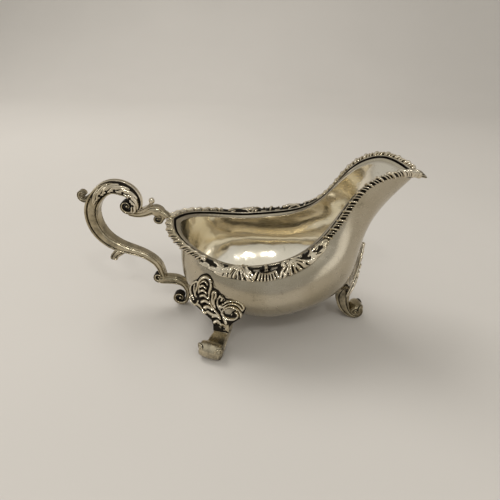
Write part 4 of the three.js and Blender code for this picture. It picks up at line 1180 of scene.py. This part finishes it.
# ------------------------------------------------------ relief from line work
def relief(X, Y, ribs, hollows, floor=0.0):
    H = np.full(X.shape, float(floor))
    for pts, w0, w1, h0, h1 in ribs:
        xs = [p[0] for p in pts]
        ys = [p[1] for p in pts]
        pad = max(w0, w1) + 1.0
        m = (X > min(xs) - pad) & (X < max(xs) + pad) & (Y > min(ys) - pad) & (Y < max(ys) + pad)
        if not m.any():
            continue
        H[m] = np.maximum(H[m], rib(X[m], Y[m], pts, w0, w1, h0, h1, power=0.55) + floor * 0.3)
    for pts, w, d in hollows:
        xs = [p[0] for p in pts]
        ys = [p[1] for p in pts]
        pad = 3 * w
        m = (X > min(xs) - pad) & (X < max(xs) + pad) & (Y > min(ys) - pad) & (Y < max(ys) + pad)
        if m.any():
            H[m] += groove(X[m], Y[m], pts, w, d)
    return H


def normals_of(P):
    du = np.gradient(P, axis=0)
    dv = np.gradient(P, axis=1)
    n = np.cross(du, dv)
    n /= np.linalg.norm(n, axis=2)[..., None] + 1e-12
    return n


def build_mount(name, node, far):
    nu, nv = 560, 150
    A0 = s_of_st(MOUNT_A)
    st = st_of_s(np.linspace(s_of_st(MOUNT_A - 0.12), s_of_st(MOUNT_B + 0.12), nu))
    s = s_of_st(st) - A0
    k = mount_scale(st)
    W = 4.9 + 4.9 * k
    v = np.linspace(-0.02, 1.0, nv)
    SS, VV = np.meshgrid(s, v, indexing="ij")
    X, Y = SS, VV * W[:, None]
    H = relief(X, Y, MOUNT_RIBS, MOUNT_HOLLOWS, floor=0.15)
    # fluted fan between the two leaves
    ax, ay = SHELL_APEX
    for q, (ex, ey) in enumerate(SHELL_ENDS):
        mx, my = ax + (ex - ax) * 0.62, ay + (ey - ay) * 0.45
        pts = [(ax + (ex - ax) * 0.06, ay + 0.2), (ax + (ex - ax) * 0.42, ay + (ey - ay) * 0.40), (ax + (ex - ax) * 0.8, ay + (ey - ay) * 0.74), (ex, ey)]
        fl_ = (Y - ay) / max(ey - ay, 1.0)
        outer = abs(q - 3.5) / 3.5
        rb = rib(X, Y, pts, 0.30, 0.88, 1.0, 1.7, power=0.45)
        # only the middle flutes rise to the hinge; all of them end in a scalloped row
        keep = np.clip((fl_ - 0.66) / 0.10, 0, 1) + np.clip(1.35 - 2.6 * outer, 0, 1) * (fl_ < 0.64)
        H = np.maximum(H, rb * np.clip(keep, 0, 1))
        if q:
            px, py = SHELL_ENDS[q - 1]
            gx, gy = (ex + px) / 2, (ey + py) / 2
            H += groove(X, Y, [(ax + (gx - ax) * 0.78, ay + (gy - ay) * 0.78), (gx, gy + 0.3)], 0.20, 1.2, smooth=False)
            H += groove(X, Y, [(ax + (gx - ax) * 0.2, ay + (gy - ay) * 0.2), (ax + (gx - ax) * 0.62, ay + (gy - ay) * 0.62)], 0.16, 0.6, smooth=False)
    H -= 0.9 * np.exp(-((Y - ay - 5.6) / 0.35) ** 2) * np.exp(-((X - ax) / 4.5) ** 4)
    for sg, dx in ((-1, 5.0), (1, 4.9)):
        H -= 1.7 * np.exp(-(((X - ax - sg * dx) / 2.5) ** 4 + ((Y - ay - 3.2) / 2.7) ** 4))
    for pts, w, h in MOUNT_PLATES:
        xs = [p[0] for p in pts]
        d, tt = seg_dist(X, Y, curve2(pts, 20))
        pl = h * np.clip(1.25 - d / w, 0, 1) ** 0.4
        pl = np.where(d < w * 1.25, pl, 0)
        cut = np.zeros_like(H)
        H = np.where((H > 0.0) & (H < pl), pl, H)
    for pts, w, dd_ in MOUNT_SLITS:
        H += groove(X, Y, pts, w, dd_)
    # the outline follows the leaf and shell ends
    H = blur(H, 0.8, 0.8)
    hb = blur(H, 5, 5)
    edge = np.clip((VV - 0.90) / 0.10, 0, 1)
    rim0 = np.clip((0.05 - VV) / 0.05, 0, 1)
    Wf = 1.0 - 0.075 * edge * np.clip(1.0 - blur(H, 3, 3) / 1.1, 0, 1)
    VVm = VV * Wf
    stf = np.repeat(st[:, None], nv, 1)
    P = mount_point(stf.ravel(), VVm.ravel(), np.zeros(stf.size)).reshape(nu, nv, 3)
    Pn = mount_point(stf.ravel(), VVm.ravel(), np.ones(stf.size)).reshape(nu, nv, 3) - P
    Pn /= np.linalg.norm(Pn, axis=2)[..., None]
    fade = np.clip(np.minimum(SS - s[0], s[-1] - SS) / 1.2, 0, 1)
    Hh = (0.35 + H * 1.12) * (0.25 + 0.75 * fade) - 0.5 * edge ** 2 - 0.5 * rim0
    front = P + Pn * Hh[..., None]
    back = P - Pn * (1.15)
    C = np.maximum(cavity(H, (7, 7), 1.5), 0.9 * np.clip((0.56 - H) * 2.0, 0, 1))
    if not far:                      # rim stations 0..20 run along +Y, the far side
        front, back = front * [1, -1, 1], back * [1, -1, 1]
    V, F, CC = sheet(front, back, C=C)
    ob = make(name, V, F, ["cast"], cav=CC)
    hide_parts(node)
    return ob


# ------------------------------------------------------------- feet and legs
REAR_T = np.array([[15.0, 0.6, 10.6], [19.0, 0.5, 10.4], [21.0, 0.2, 10.6], [23.4, -0.9, 12.2], [25.2, -4.2, 14.6], [26.6, -7.6, 16.6], [28.2, -12.5, 17.4],
                   [29.4, -17.2, 17.9], [32.2, -19.4, 18.8], [35.4, -19.6, 17.7], [37.6, -19.2, 15.4], [38.7, -18.8, 10.2], [39.7, -18.5, 6.6], [41.2, -17.8, 3.4],
                   [43.0, -16.4, 1.2], [44.6, -13.9, -1.2], [46.6, -12.7, -2.1], [48.2, -11.4, -3.1], [49.6, -9.4, -4.6], [50.3, -7.6, -6.2]])


def rear_s(z, t):
    s = np.interp(z, REAR_S[:, 0], REAR_S[:, 1])
    s = np.where(z < 19, np.interp(z, [0, 4, 7, 10, 14, 18, 19], [-1.5, -2.0, -4.2, -4.6, -5.0, -5.3, -5.6]), s)
    return s - t * t / 92.0


def clear_of_cavity(V, out_dir):
    """Pull back into the wall every point (mm) that would show inside the bowl."""
    from mathutils import Vector
    from mathutils.bvhtree import BVHTree
    if not hasattr(clear_of_cavity, "tree"):
        me = bpy.data.objects["bowl_body"].data
        clear_of_cavity.tree = BVHTree.FromPolygons([v.co[:] for v in me.vertices], [tuple(q.vertices) for q in me.polygons])
    d = Vector(out_dir)
    V = np.array(V, float)
    for i, v in enumerate(V):
        p = Vector(((v[0] + X_SHIFT) * 0.001, v[1] * 0.001, v[2] * 0.001))
        loc, nor, idx, dist = clear_of_cavity.tree.find_nearest(p)
        if nor.dot(d) < -0.05:
            side = (p - loc).dot(nor)
            if side > -0.0005:
                q = loc - nor * 0.0006
                V[i] = (q.x * 1000 - X_SHIFT, q.y * 1000, q.z * 1000)
    return V


def build_rear_header(name, node, far):
    place = leg_frame(-17.4, 50.6 if far else -50.6, 105 if far else 255, mirror=far)
    nz, nt = 300, 300
    z = np.linspace(17.0, 50.3, nz)
    tl = np.interp(z, REAR_T[:, 0], REAR_T[:, 1])
    tr = np.interp(z, REAR_T[:, 0], REAR_T[:, 2])
    u = np.linspace(0, 1, nt)
    Z = np.repeat(z[:, None], nt, 1)
    T = tl[:, None] + (tr - tl)[:, None] * u[None, :]
    H = relief(T, Z, REAR_RIBS, REAR_GROOVES, floor=0.28)
    H = blur(H, 0.7, 0.7)
    ed = np.minimum(np.minimum(u, 1 - u)[None, :] * (tr - tl)[:, None], (50.3 - Z))
    k = np.clip(ed / 0.7, 0, 1)
    k = np.sqrt(1 - (1 - k) ** 2)
    s = rear_s(Z, T)
    Hh = (0.25 + 1.15 * H) * (0.25 + 0.75 * k)
    front = place(s + Hh, T, Z)
    back = place(s - 0.62, T, Z)
    C = np.maximum(cavity(H, (4, 4), 1.1), np.clip((0.60 - H) * 2.0, 0, 1))
    V, F, CC = sheet(front, back, C=C)
    V = clear_of_cavity(V, (0.0, 1.0 if far else -1.0, 0.0))
    ob = make(name, V, F, ["cast"], cav=CC)
    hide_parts(node)
    return ob


FRONT_RIBS = []
for _sg in (-1, 1):
    FRONT_RIBS += [
        ([(_sg * 1.0, 30), (_sg * 5.5, 33.5), (_sg * 10.5, 34.5), (_sg * 14.5, 32.2), (_sg * 16.2, 28.6), (_sg * 14.0, 25.8)], 0.85, 0.7, 1.5, 1.3),
        ([(_sg * 2.0, 27.2), (_sg * 6.0, 30.6), (_sg * 10.6, 31.6), (_sg * 13.5, 29.4)], 0.65, 0.6, 1.2, 1.1),
        ([(_sg * 3.0, 22.4), (_sg * 6.6, 25.8), (_sg * 10.4, 26.4), (_sg * 12.6, 28.3), (_sg * 10.8, 29.6), (_sg * 9.0, 28.6)], 0.8, 0.6, 1.4, 1.2),
        ([(_sg * 2.2, 34), (_sg * 7.5, 37.4), (_sg * 12.5, 38.6), (_sg * 15.6, 36.6)], 0.8, 0.7, 1.3, 1.3),
        ([(_sg * 2.0, 37.4), (_sg * 6.4, 40.8), (_sg * 11.0, 42.6), (_sg * 12.2, 40.6)], 0.8, 0.65, 1.3, 1.2),
        ([(_sg * 1.8, 41.4), (_sg * 5.0, 44.8), (_sg * 8.4, 46.8), (_sg * 9.4, 44.8)], 0.75, 0.6, 1.3, 1.1),
        ([(_sg * 1.6, 45.6), (_sg * 3.6, 48.8), (_sg * 6.0, 50.8)], 0.7, 0.55, 1.2, 1.0),
        ([(_sg * 1.2, 49.4), (_sg * 2.6, 52.6), (_sg * 3.8, 54.2)], 0.6, 0.5, 1.1, 0.9),
    ]
    for _k in range(6):
        _z = 31.5 + 4.0 * _k
        FRONT_RIBS.append(([(_sg * 0.2, _z + 1.0), (_sg * 1.6, _z + 0.4), (_sg * 2.6, _z - 1.2)], 0.75, 0.55, 1.2, 1.0))
FRONT_RIBS += [([(0, 52), (0, 55.5), (0, 58.4)], 1.0, 0.5, 1.3, 0.9), ([(0, 20), (0, 26), (0, 31)], 1.4, 1.0, 1.2, 1.2)]
FRONT_HOLLOWS = []
for _sg in (-1, 1):
    FRONT_HOLLOWS += [([(_sg * 7.5, 28.4), (_sg * 9.6, 28.2)], 1.1, 1.3), ([(_sg * 5.5, 35.2), (_sg * 11.0, 36.4)], 0.5, 0.9), ([(_sg * 5.0, 39.2), (_sg * 9.0, 40.6)], 0.45, 0.9)]


def build_front_header(name, node):
    place = leg_frame(78.5, 0, 0)
    nz, nt = 320, 220
    z = np.linspace(17.5, 58.8, nz)
    rows = np.array([[17.5, 4.6], [19.25, 4.8], [22, 7.2], [25, 13.0], [27, 16.6], [30, 17.4], [33, 17.0], [36, 17.0], [38.4, 16.6], [41, 13.6], [43, 13.2], [45.4, 10.4], [47.4, 9.8], [49.6, 7.4], [51.6, 6.6], [53.4, 4.8], [56, 3.0], [58.0, 1.6], [58.8, 0.7]])
    h = np.interp(z, rows[:, 0], rows[:, 1])
    u = np.linspace(-1, 1, nt)
    Z = np.repeat(z[:, None], nt, 1)
    T = h[:, None] * u[None, :]
    H = relief(T, Z, FRONT_RIBS, FRONT_HOLLOWS, floor=0.30)
    H = blur(H, 0.7, 0.7)
    ed = np.minimum((1 - np.abs(u))[None, :] * h[:, None], 58.8 - Z)
    k = np.clip(ed / 0.7, 0, 1)
    k = np.sqrt(1 - (1 - k) ** 2)
    s = np.interp(Z, FRONT_S[:, 0], FRONT_S[:, 1]) - T * T / 60.0
    front = place(s + (0.2 + 1.1 * H) * (0.25 + 0.75 * k), T, Z)
    back = place(s - 0.6, T, Z)
    C = np.maximum(cavity(H, (4, 4), 1.1), np.clip((0.60 - H) * 2.0, 0, 1))
    C = C * np.clip(ed / 0.5, 0, 1)
    V, F, CC = sheet(front, back, C=C)
    V = clear_of_cavity(V, (1.0, 0.0, -0.2))
    ob = make(name, V, F, ["cast"], cav=CC)
    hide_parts(node)
    return ob


def leg_rows(kind):
    if kind == "rear":
        r = [[-8.4, 23.5, 2.6, 5.2, 5.4], [-9.4, 18.6, 4.0, 5.1, 5.6], [-9.5, 14.2, 4.1, 4.9, 4.9], [-8.4, 10.0, 3.6, 5.2, 3.4],
             [-6.4, 6.2, 2.7, 5.8, 2.2], [-3.6, 3.3, 1.9, 6.2, 1.5]]
    else:
        r = [[-9.4, 23.0, 2.8, 4.6, 0], [-10.2, 18.6, 4.6, 4.6, 0], [-9.9, 14.2, 4.4, 4.8, 0], [-8.5, 10.0, 3.8, 5.2, 0],
             [-6.4, 6.2, 2.8, 5.4, 0], [-3.6, 3.3, 1.9, 5.5, 0]]
    c = (0.2, 6.1)
    n = 15
    for k in np.linspace(0, 1, n):
        rr = 4.85 - 3.3 * k ** 1.15
        a = -92 + 560 * k
        p = polar(c, rr, a)
        r.append([p[0], p[1], 1.3 - 0.7 * k, (6.9 - 0.2 * k) if kind == "rear" else (5.5 - 0.3 * k), 1.3 if kind == "rear" else 0.0])
    return r, c


def build_foot(name, node, kind, far=False):
    if kind == "rear":
        place = leg_frame(-17.4, 50.6 if far else -50.6, 105 if far else 255, mirror=far)
    else:
        place = leg_frame(78.5, 0, 0)
    rows, c = leg_rows(kind)
    hw_end, sh_end = rows[-1][3], rows[-1][4]

    def to3d(a, b, y):
        return place(a, y, b)
    sec = sec_scroll(bead=0.40, cen=0.42, gro=0.86, side=0.95)
    V, F, C = sweep(rows, sec, to3d, n=460, round_ends=(False, True), curl=(0.46, 1.0, 0.60))
    bag = Bag()
    # the roll is fuller in the middle than at its ends
    e = place(c[0], 0.0, c[1])
    ax = place(0.0, 1.0, 0.0) - place(0.0, 0.0, 0.0)
    ox = place(1.0, 0.0, 0.0) - place(0.0, 0.0, 0.0)
    rel = V - e
    ty, sx, sz_ = rel @ ax, rel @ ox, rel[:, 2]
    rad = np.hypot(sx, sz_)
    idx = np.arange(len(V)) // len(sec[0])
    inroll = np.clip((idx / 460.0 - 0.36) / 0.10, 0, 1)
    shrink = 1 - 0.14 * inroll * np.clip(np.abs(ty - sh_end) / hw_end, 0, 1.05) ** 3.0
    V = e + ax[None, :] * ty[:, None] + ox[None, :] * (sx * shrink)[:, None] + np.array([0, 0, 1.0])[None, :] * (sz_ * shrink)[:, None]
    if kind == "rear":
        # cast ribs run on from the header over the ankle
        P = even(spline_open(rows, n=1380), 460)
        m = len(sec[0])
        nn = len(P)
        G = V[:nn * m].reshape(nn, m, 3)
        sz = np.zeros((nn, m, 2))
        Tt = np.gradient(P[:, :2], axis=0)
        Tt /= np.linalg.norm(Tt, axis=1)[:, None]
        for j in range(m):
            y = sec[0][j, 1] * P[:, 3] + P[:, 4]
            zz = G[:, j, 2]
            facing = sec[0][j, 0]
            # the path comes down with its left normal towards +s
            w = np.clip(-facing if Tt[5, 1] > 0 else facing, 0, 1)
            sz[:, j, 0], sz[:, j, 1] = y, zz
            on = (zz > 12.5) & (np.arange(nn) < nn * 0.5)
            if w > 0.05:
                H = relief(y, zz, REAR_RIBS, REAR_GROOVES, floor=0.6)
                d = 0.9 * (H - 0.6) * w * np.clip((zz - 12.5) / 1.5, 0, 1) * on
                dirv = place(1.0, 0.0, 0.0) - place(0.0, 0.0, 0.0)
                G[:, j] += dirv[None, :] * d[:, None]
                C[:nn * m].reshape(nn, m)[:, j] = np.maximum(C[:nn * m].reshape(nn, m)[:, j], np.clip((0.4 - H) * 2.0, 0, 1) * on * np.clip((zz - 12.5) / 1.5, 0, 1))
    bag.add(V, F, C)
    mid = e + ax * sh_end
    bag.add(*blob(mid, (1.7, hw_end + 0.5, 1.7), axes=np.array([ox, ax, [0, 0, 1.0]])))
    # a ringed eye closes the roll at each end
    for sg in (-1, 1):
        for R_, r_, o_, cv in ((2.75, 0.74, -0.25, 0.0), (1.2, 0.62, 0.15, 0.0)):
            g1, g2 = np.meshgrid(np.linspace(0, 2 * np.pi, 48, endpoint=False), np.linspace(0, 2 * np.pi, 16, endpoint=False), indexing="ij")
            rr = R_ + r_ * np.cos(g2)
            P3 = mid + (sg * (hw_end + o_) + sg * r_ * np.sin(g2))[..., None] * ax + (rr * np.cos(g1))[..., None] * ox + (rr * np.sin(g1))[..., None] * np.array([0, 0, 1.0])
            Ft = []
            for i_ in range(48):
                for j_ in range(16):
                    Ft.append([i_ * 16 + j_, ((i_ + 1) % 48) * 16 + j_, ((i_ + 1) % 48) * 16 + (j_ + 1) % 16, i_ * 16 + (j_ + 1) % 16])
            Cv = np.clip((r_ * 0.2 - r_ * np.sin(g2)) / r_, 0, 1) * 0.6
            Vt = P3.reshape(-1, 3)
            bag.add(Vt, fix_winding(Vt, Ft), Cv.ravel())
        # a small curl lies on the roll's shoulder at each end
        cc = mid + ax * sg * (hw_end - 1.1) + ox * 2.6 + np.array([0, 0, 1.0]) * (1.6 if sg > 0 else 2.6)
        w1 = ax * (0.62 * sg) + ox * 0.78
        w1 = w1 / np.linalg.norm(w1)
        w2 = np.cross(w1, [0, 0, 1.0])
        w2 = w2 / np.linalg.norm(w2)
        w3 = np.cross(w1, w2)
        g1, g2 = np.meshgrid(np.linspace(0, 2 * np.pi, 48, endpoint=False), np.linspace(0, 2 * np.pi, 16, endpoint=False), indexing="ij")
        for R_, r_ in ((2.15, 0.72), (0.62, 0.58)):
            rr = R_ + r_ * np.cos(g2)
            P3 = cc + (r_ * np.sin(g2) + 0.5)[..., None] * w1 + (rr * np.cos(g1))[..., None] * w2 + (rr * np.sin(g1))[..., None] * w3
            Vt = P3.reshape(-1, 3)
            bag.add(Vt, fix_winding(Vt, Ft), np.clip(0.55 - np.sin(g2), 0, 1).ravel() * 0.7)
        # a dark flat disc fills the curl's centre: patina with painted shade in its hollow
        dv, df, dc = blob(cc + w1 * 0.1, (2.2, 0.5, 2.2), axes=np.array([w2, w1, w3]))
        bag.add(dv, df, np.full(len(dv), 0.9))
        # dark disc behind the eye: patina with painted shade in the eye's hollow
        dv, df, dc = blob(mid + ax * sg * (hw_end - 0.35), (2.7, 0.45, 2.7), axes=np.array([ox, ax, [0, 0, 1.0]]))
        bag.add(dv, df, np.full(len(dv), 0.8))
    # flat pad it stands on
    a = np.linspace(0, 2 * np.pi, 40, endpoint=False)
    ring = lambda r, z: place(0.0 + r * np.cos(a), r * np.sin(a), np.full(40, z))
    V = np.vstack([ring(2.6, 0.0), ring(3.0, 0.5), ring(2.6, 1.4)])
    Fp = grid_faces(3, 40, wrap_v=True).tolist() + [list(range(40))[::-1], list(range(80, 120))]
    bag.add(V, fix_winding(V, Fp), np.full(120, 0.0))
    # every part of the foot gets at least 0.19 on the cav mask: painted shade for the foot standing in its own contact
    # shadow
    bag.C = [np.maximum(c_, 0.19) for c_ in bag.C]
    ob = bag.make(name, ["scroll"])
    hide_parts(node)
    return ob


def build_tip_leaf():
    """Two small folded lobes that close the border at the spout's tip."""
    bag = Bag()
    for sg, pts in ((1, None), (-1, None)):
        n, m = 60, 36
        u = np.linspace(0, 1, n)
        v = np.linspace(0, 2 * np.pi, m, endpoint=False)
        V = np.zeros((n, m, 3))
        C = np.zeros((n, m))
        cx = 97.8 + 9.6 * u - 1.0 * u * u
        cy = sg * (3.6 - 2.7 * u ** 1.3)
        cz = 107.9 - 2.2 * u - 1.2 * u * u
        wid = 2.3 * np.sqrt(np.clip(1 - (2 * u - 1) ** 2, 0, 1)) ** 0.8 + 0.02
        th = 1.1 * np.sqrt(np.clip(1 - (2 * u - 1) ** 2, 0, 1)) + 0.02
        for j in range(m):
            rr = 1 + 0.16 * np.cos(5 * v[j] + 9 * u)
            V[:, j, 0] = cx
            V[:, j, 1] = cy + wid * np.cos(v[j]) * rr
            V[:, j, 2] = cz + th * np.sin(v[j]) * rr
            C[:, j] = np.clip(-np.cos(5 * v[j] + 9 * u), 0, 1) * 0.8
        F = grid_faces(n, m, wrap_v=True)
        if vol_of(V, F) < 0:
            F = F[:, ::-1]
        FF = F.tolist()
        Vf = V.reshape(-1, 3)
        k0, k1 = len(Vf), len(Vf) + 1
        Vf = np.vstack([Vf, V[0].mean(0), V[-1].mean(0)])
        edges = set()
        for q in FF[:m] + FF[-m:]:
            for i in range(4):
                edges.add((q[i], q[(i + 1) % 4]))
        b = (n - 1) * m
        for tri in [[k0, j, (j + 1) % m] for j in range(m)] + [[k1, b + j, b + (j + 1) % m] for j in range(m)]:
            bad = any((tri[i], tri[(i + 1) % 3]) in edges for i in range(3))
            FF.append(tri[::-1] if bad else tri)
        bag.add(Vf, FF, np.r_[C.ravel(), 0, 0])
    bag.add(*blob((99.6, 0, 106.6), (2.6, 2.2, 1.3)))
    ob = bag.make("spout_leaf", ["cast"])
    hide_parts("spout_tip_leaf")
    return ob

# -------------------------------------------------------------------- build
build_body()
build_gadroon("border_near_aft", "gadroon_near_aft", 0.05, 5.72, -4.6)
build_gadroon("border_near_fore", "gadroon_near_fore", 12.48, 19.75, 2.8)
build_gadroon("border_far_fore", "gadroon_far_fore", 20.25, 27.52, -2.8)
build_gadroon("border_far_aft", "gadroon_far_aft", 34.28, 39.95, 4.6)
build_handle()
build_leaf_cap()
build_mount("mount_shell_near", "shell_mount_near", False)
build_mount("mount_shell_far", "shell_mount_far", True)
build_rear_header("leg_leaf_near", "header_near", False)
build_rear_header("leg_leaf_far", "header_far", True)
build_front_header("leg_leaf_spout", "header_spout")
build_foot("leg_near", "foot_near", "rear")
build_foot("leg_far", "foot_far", "rear", True)
build_foot("leg_spout", "foot_spout", "front")
build_tip_leaf()

# ------------------------------------------------------- camera, floor, light
az, el, roll = math.radians(4.083), math.radians(29.809), math.radians(0.9507)
B = Vector((math.sin(az) * math.cos(el), -math.cos(az) * math.cos(el), math.sin(el)))
R0 = Vector((math.cos(az), math.sin(az), 0))
U0 = B.cross(R0)
Rv = R0 * math.cos(roll) + U0 * math.sin(roll)
Uv = -R0 * math.sin(roll) + U0 * math.cos(roll)
aim = Vector(((3.05885 + X_SHIFT) * 0.001, 0, 0.0487568))
eye = aim + B * 0.269336
cam = bpy.data.cameras.new("view")
cam.sensor_width = 36.0
cam.lens = 36.0 * 399.813 / 500.0
cam.clip_start = 0.01
cam.clip_end = 100
cob = bpy.data.objects.new("view", cam)
cob.matrix_world = Matrix(((Rv.x, Uv.x, B.x, eye.x), (Rv.y, Uv.y, B.y, eye.y), (Rv.z, Uv.z, B.z, eye.z), (0, 0, 0, 1)))
bpy.context.scene.collection.objects.link(cob)
bpy.context.scene.camera = cob

# paper sweep: flat on the table, then curving up well behind the object
me = bpy.data.meshes.new("floor")
_pr = [(-6.0, 0.0), (-2.0, 0.0), (-0.6, 0.0), (0.0, 0.0), (0.55, 0.0)]
_pr += [(0.75 + 0.75 * math.sin(a), 0.75 - 0.75 * math.cos(a)) for a in np.linspace(0.04, math.pi / 2, 24)] + [(1.5, 1.5), (1.5, 3.0)]
_xs = [-5.0, -1.5, 0.0, 1.5, 5.0]
me.from_pydata([(x, y, z) for y, z in _pr for x in _xs], [],
               [(j * 5 + i, j * 5 + i + 1, (j + 1) * 5 + i + 1, (j + 1) * 5 + i) for j in range(len(_pr) - 1) for i in range(4)])
me.polygons.foreach_set("use_smooth", [True] * len(me.polygons))
fl = bpy.data.objects.new("floor", me)
bpy.context.scene.collection.objects.link(fl)
ft = Tree("paper_floor")
fc = ft.mix(ft.rng(ft.noise(3.0, 3.0, 0.5), 0.35, 0.65, 0, 1), FLOOR_A, FLOOR_B)
ft.put(ft.bs.inputs["Base Color"], fc)
ft.bs.inputs["Roughness"].default_value = 0.75
ft.bs.inputs["Specular IOR Level"].default_value = 0.25
me.materials.append(ft.mat)

world = bpy.data.worlds.new("studio")
bpy.context.scene.world = world
world.use_nodes = True
wn = world.node_tree
wn.nodes.clear()
wo = wn.nodes.new("ShaderNodeOutputWorld")
bg = wn.nodes.new("ShaderNodeBackground")
wn.links.new(bg.outputs[0], wo.inputs[0])
tc = wn.nodes.new("ShaderNodeTexCoord")
sep = wn.nodes.new("ShaderNodeSeparateXYZ")
wn.links.new(tc.outputs["Generated"], sep.inputs[0])
rp = wn.nodes.new("ShaderNodeValToRGB")
mr = wn.nodes.new("ShaderNodeMapRange")
mr.inputs["From Min"].default_value = -1
mr.inputs["From Max"].default_value = 1
wn.links.new(sep.outputs[2], mr.inputs["Value"])
wn.links.new(mr.outputs[0], rp.inputs[0])
els = rp.color_ramp.elements
els[0].position, els[0].color = 0.0, WORLD[0]
els[1].position, els[1].color = 1.0, WORLD[-1]
for pos, c in ((0.49, WORLD[1]), (0.53, WORLD[2]), (0.66, WORLD[3]), (0.82, WORLD[4])):
    e = els.new(pos)
    e.color = c
wn.links.new(rp.outputs[0], bg.inputs[0])
bg.inputs[1].default_value = WORLD_S


def area(name, loc, target, size, power, color=(1, 1, 1)):
    l = bpy.data.lights.new(name, "AREA")
    l.shape = "RECTANGLE"
    l.size, l.size_y = size
    l.energy = power
    l.color = color
    o = bpy.data.objects.new(name, l)
    o.location = loc
    d = (Vector(target) - Vector(loc)).normalized()
    o.rotation_euler = d.to_track_quat("-Z", "Y").to_euler()
    bpy.context.scene.collection.objects.link(o)
    o.visible_glossy = name not in ("key", "fill")
    return o


for a_ in LIGHTS:
    area(*a_)
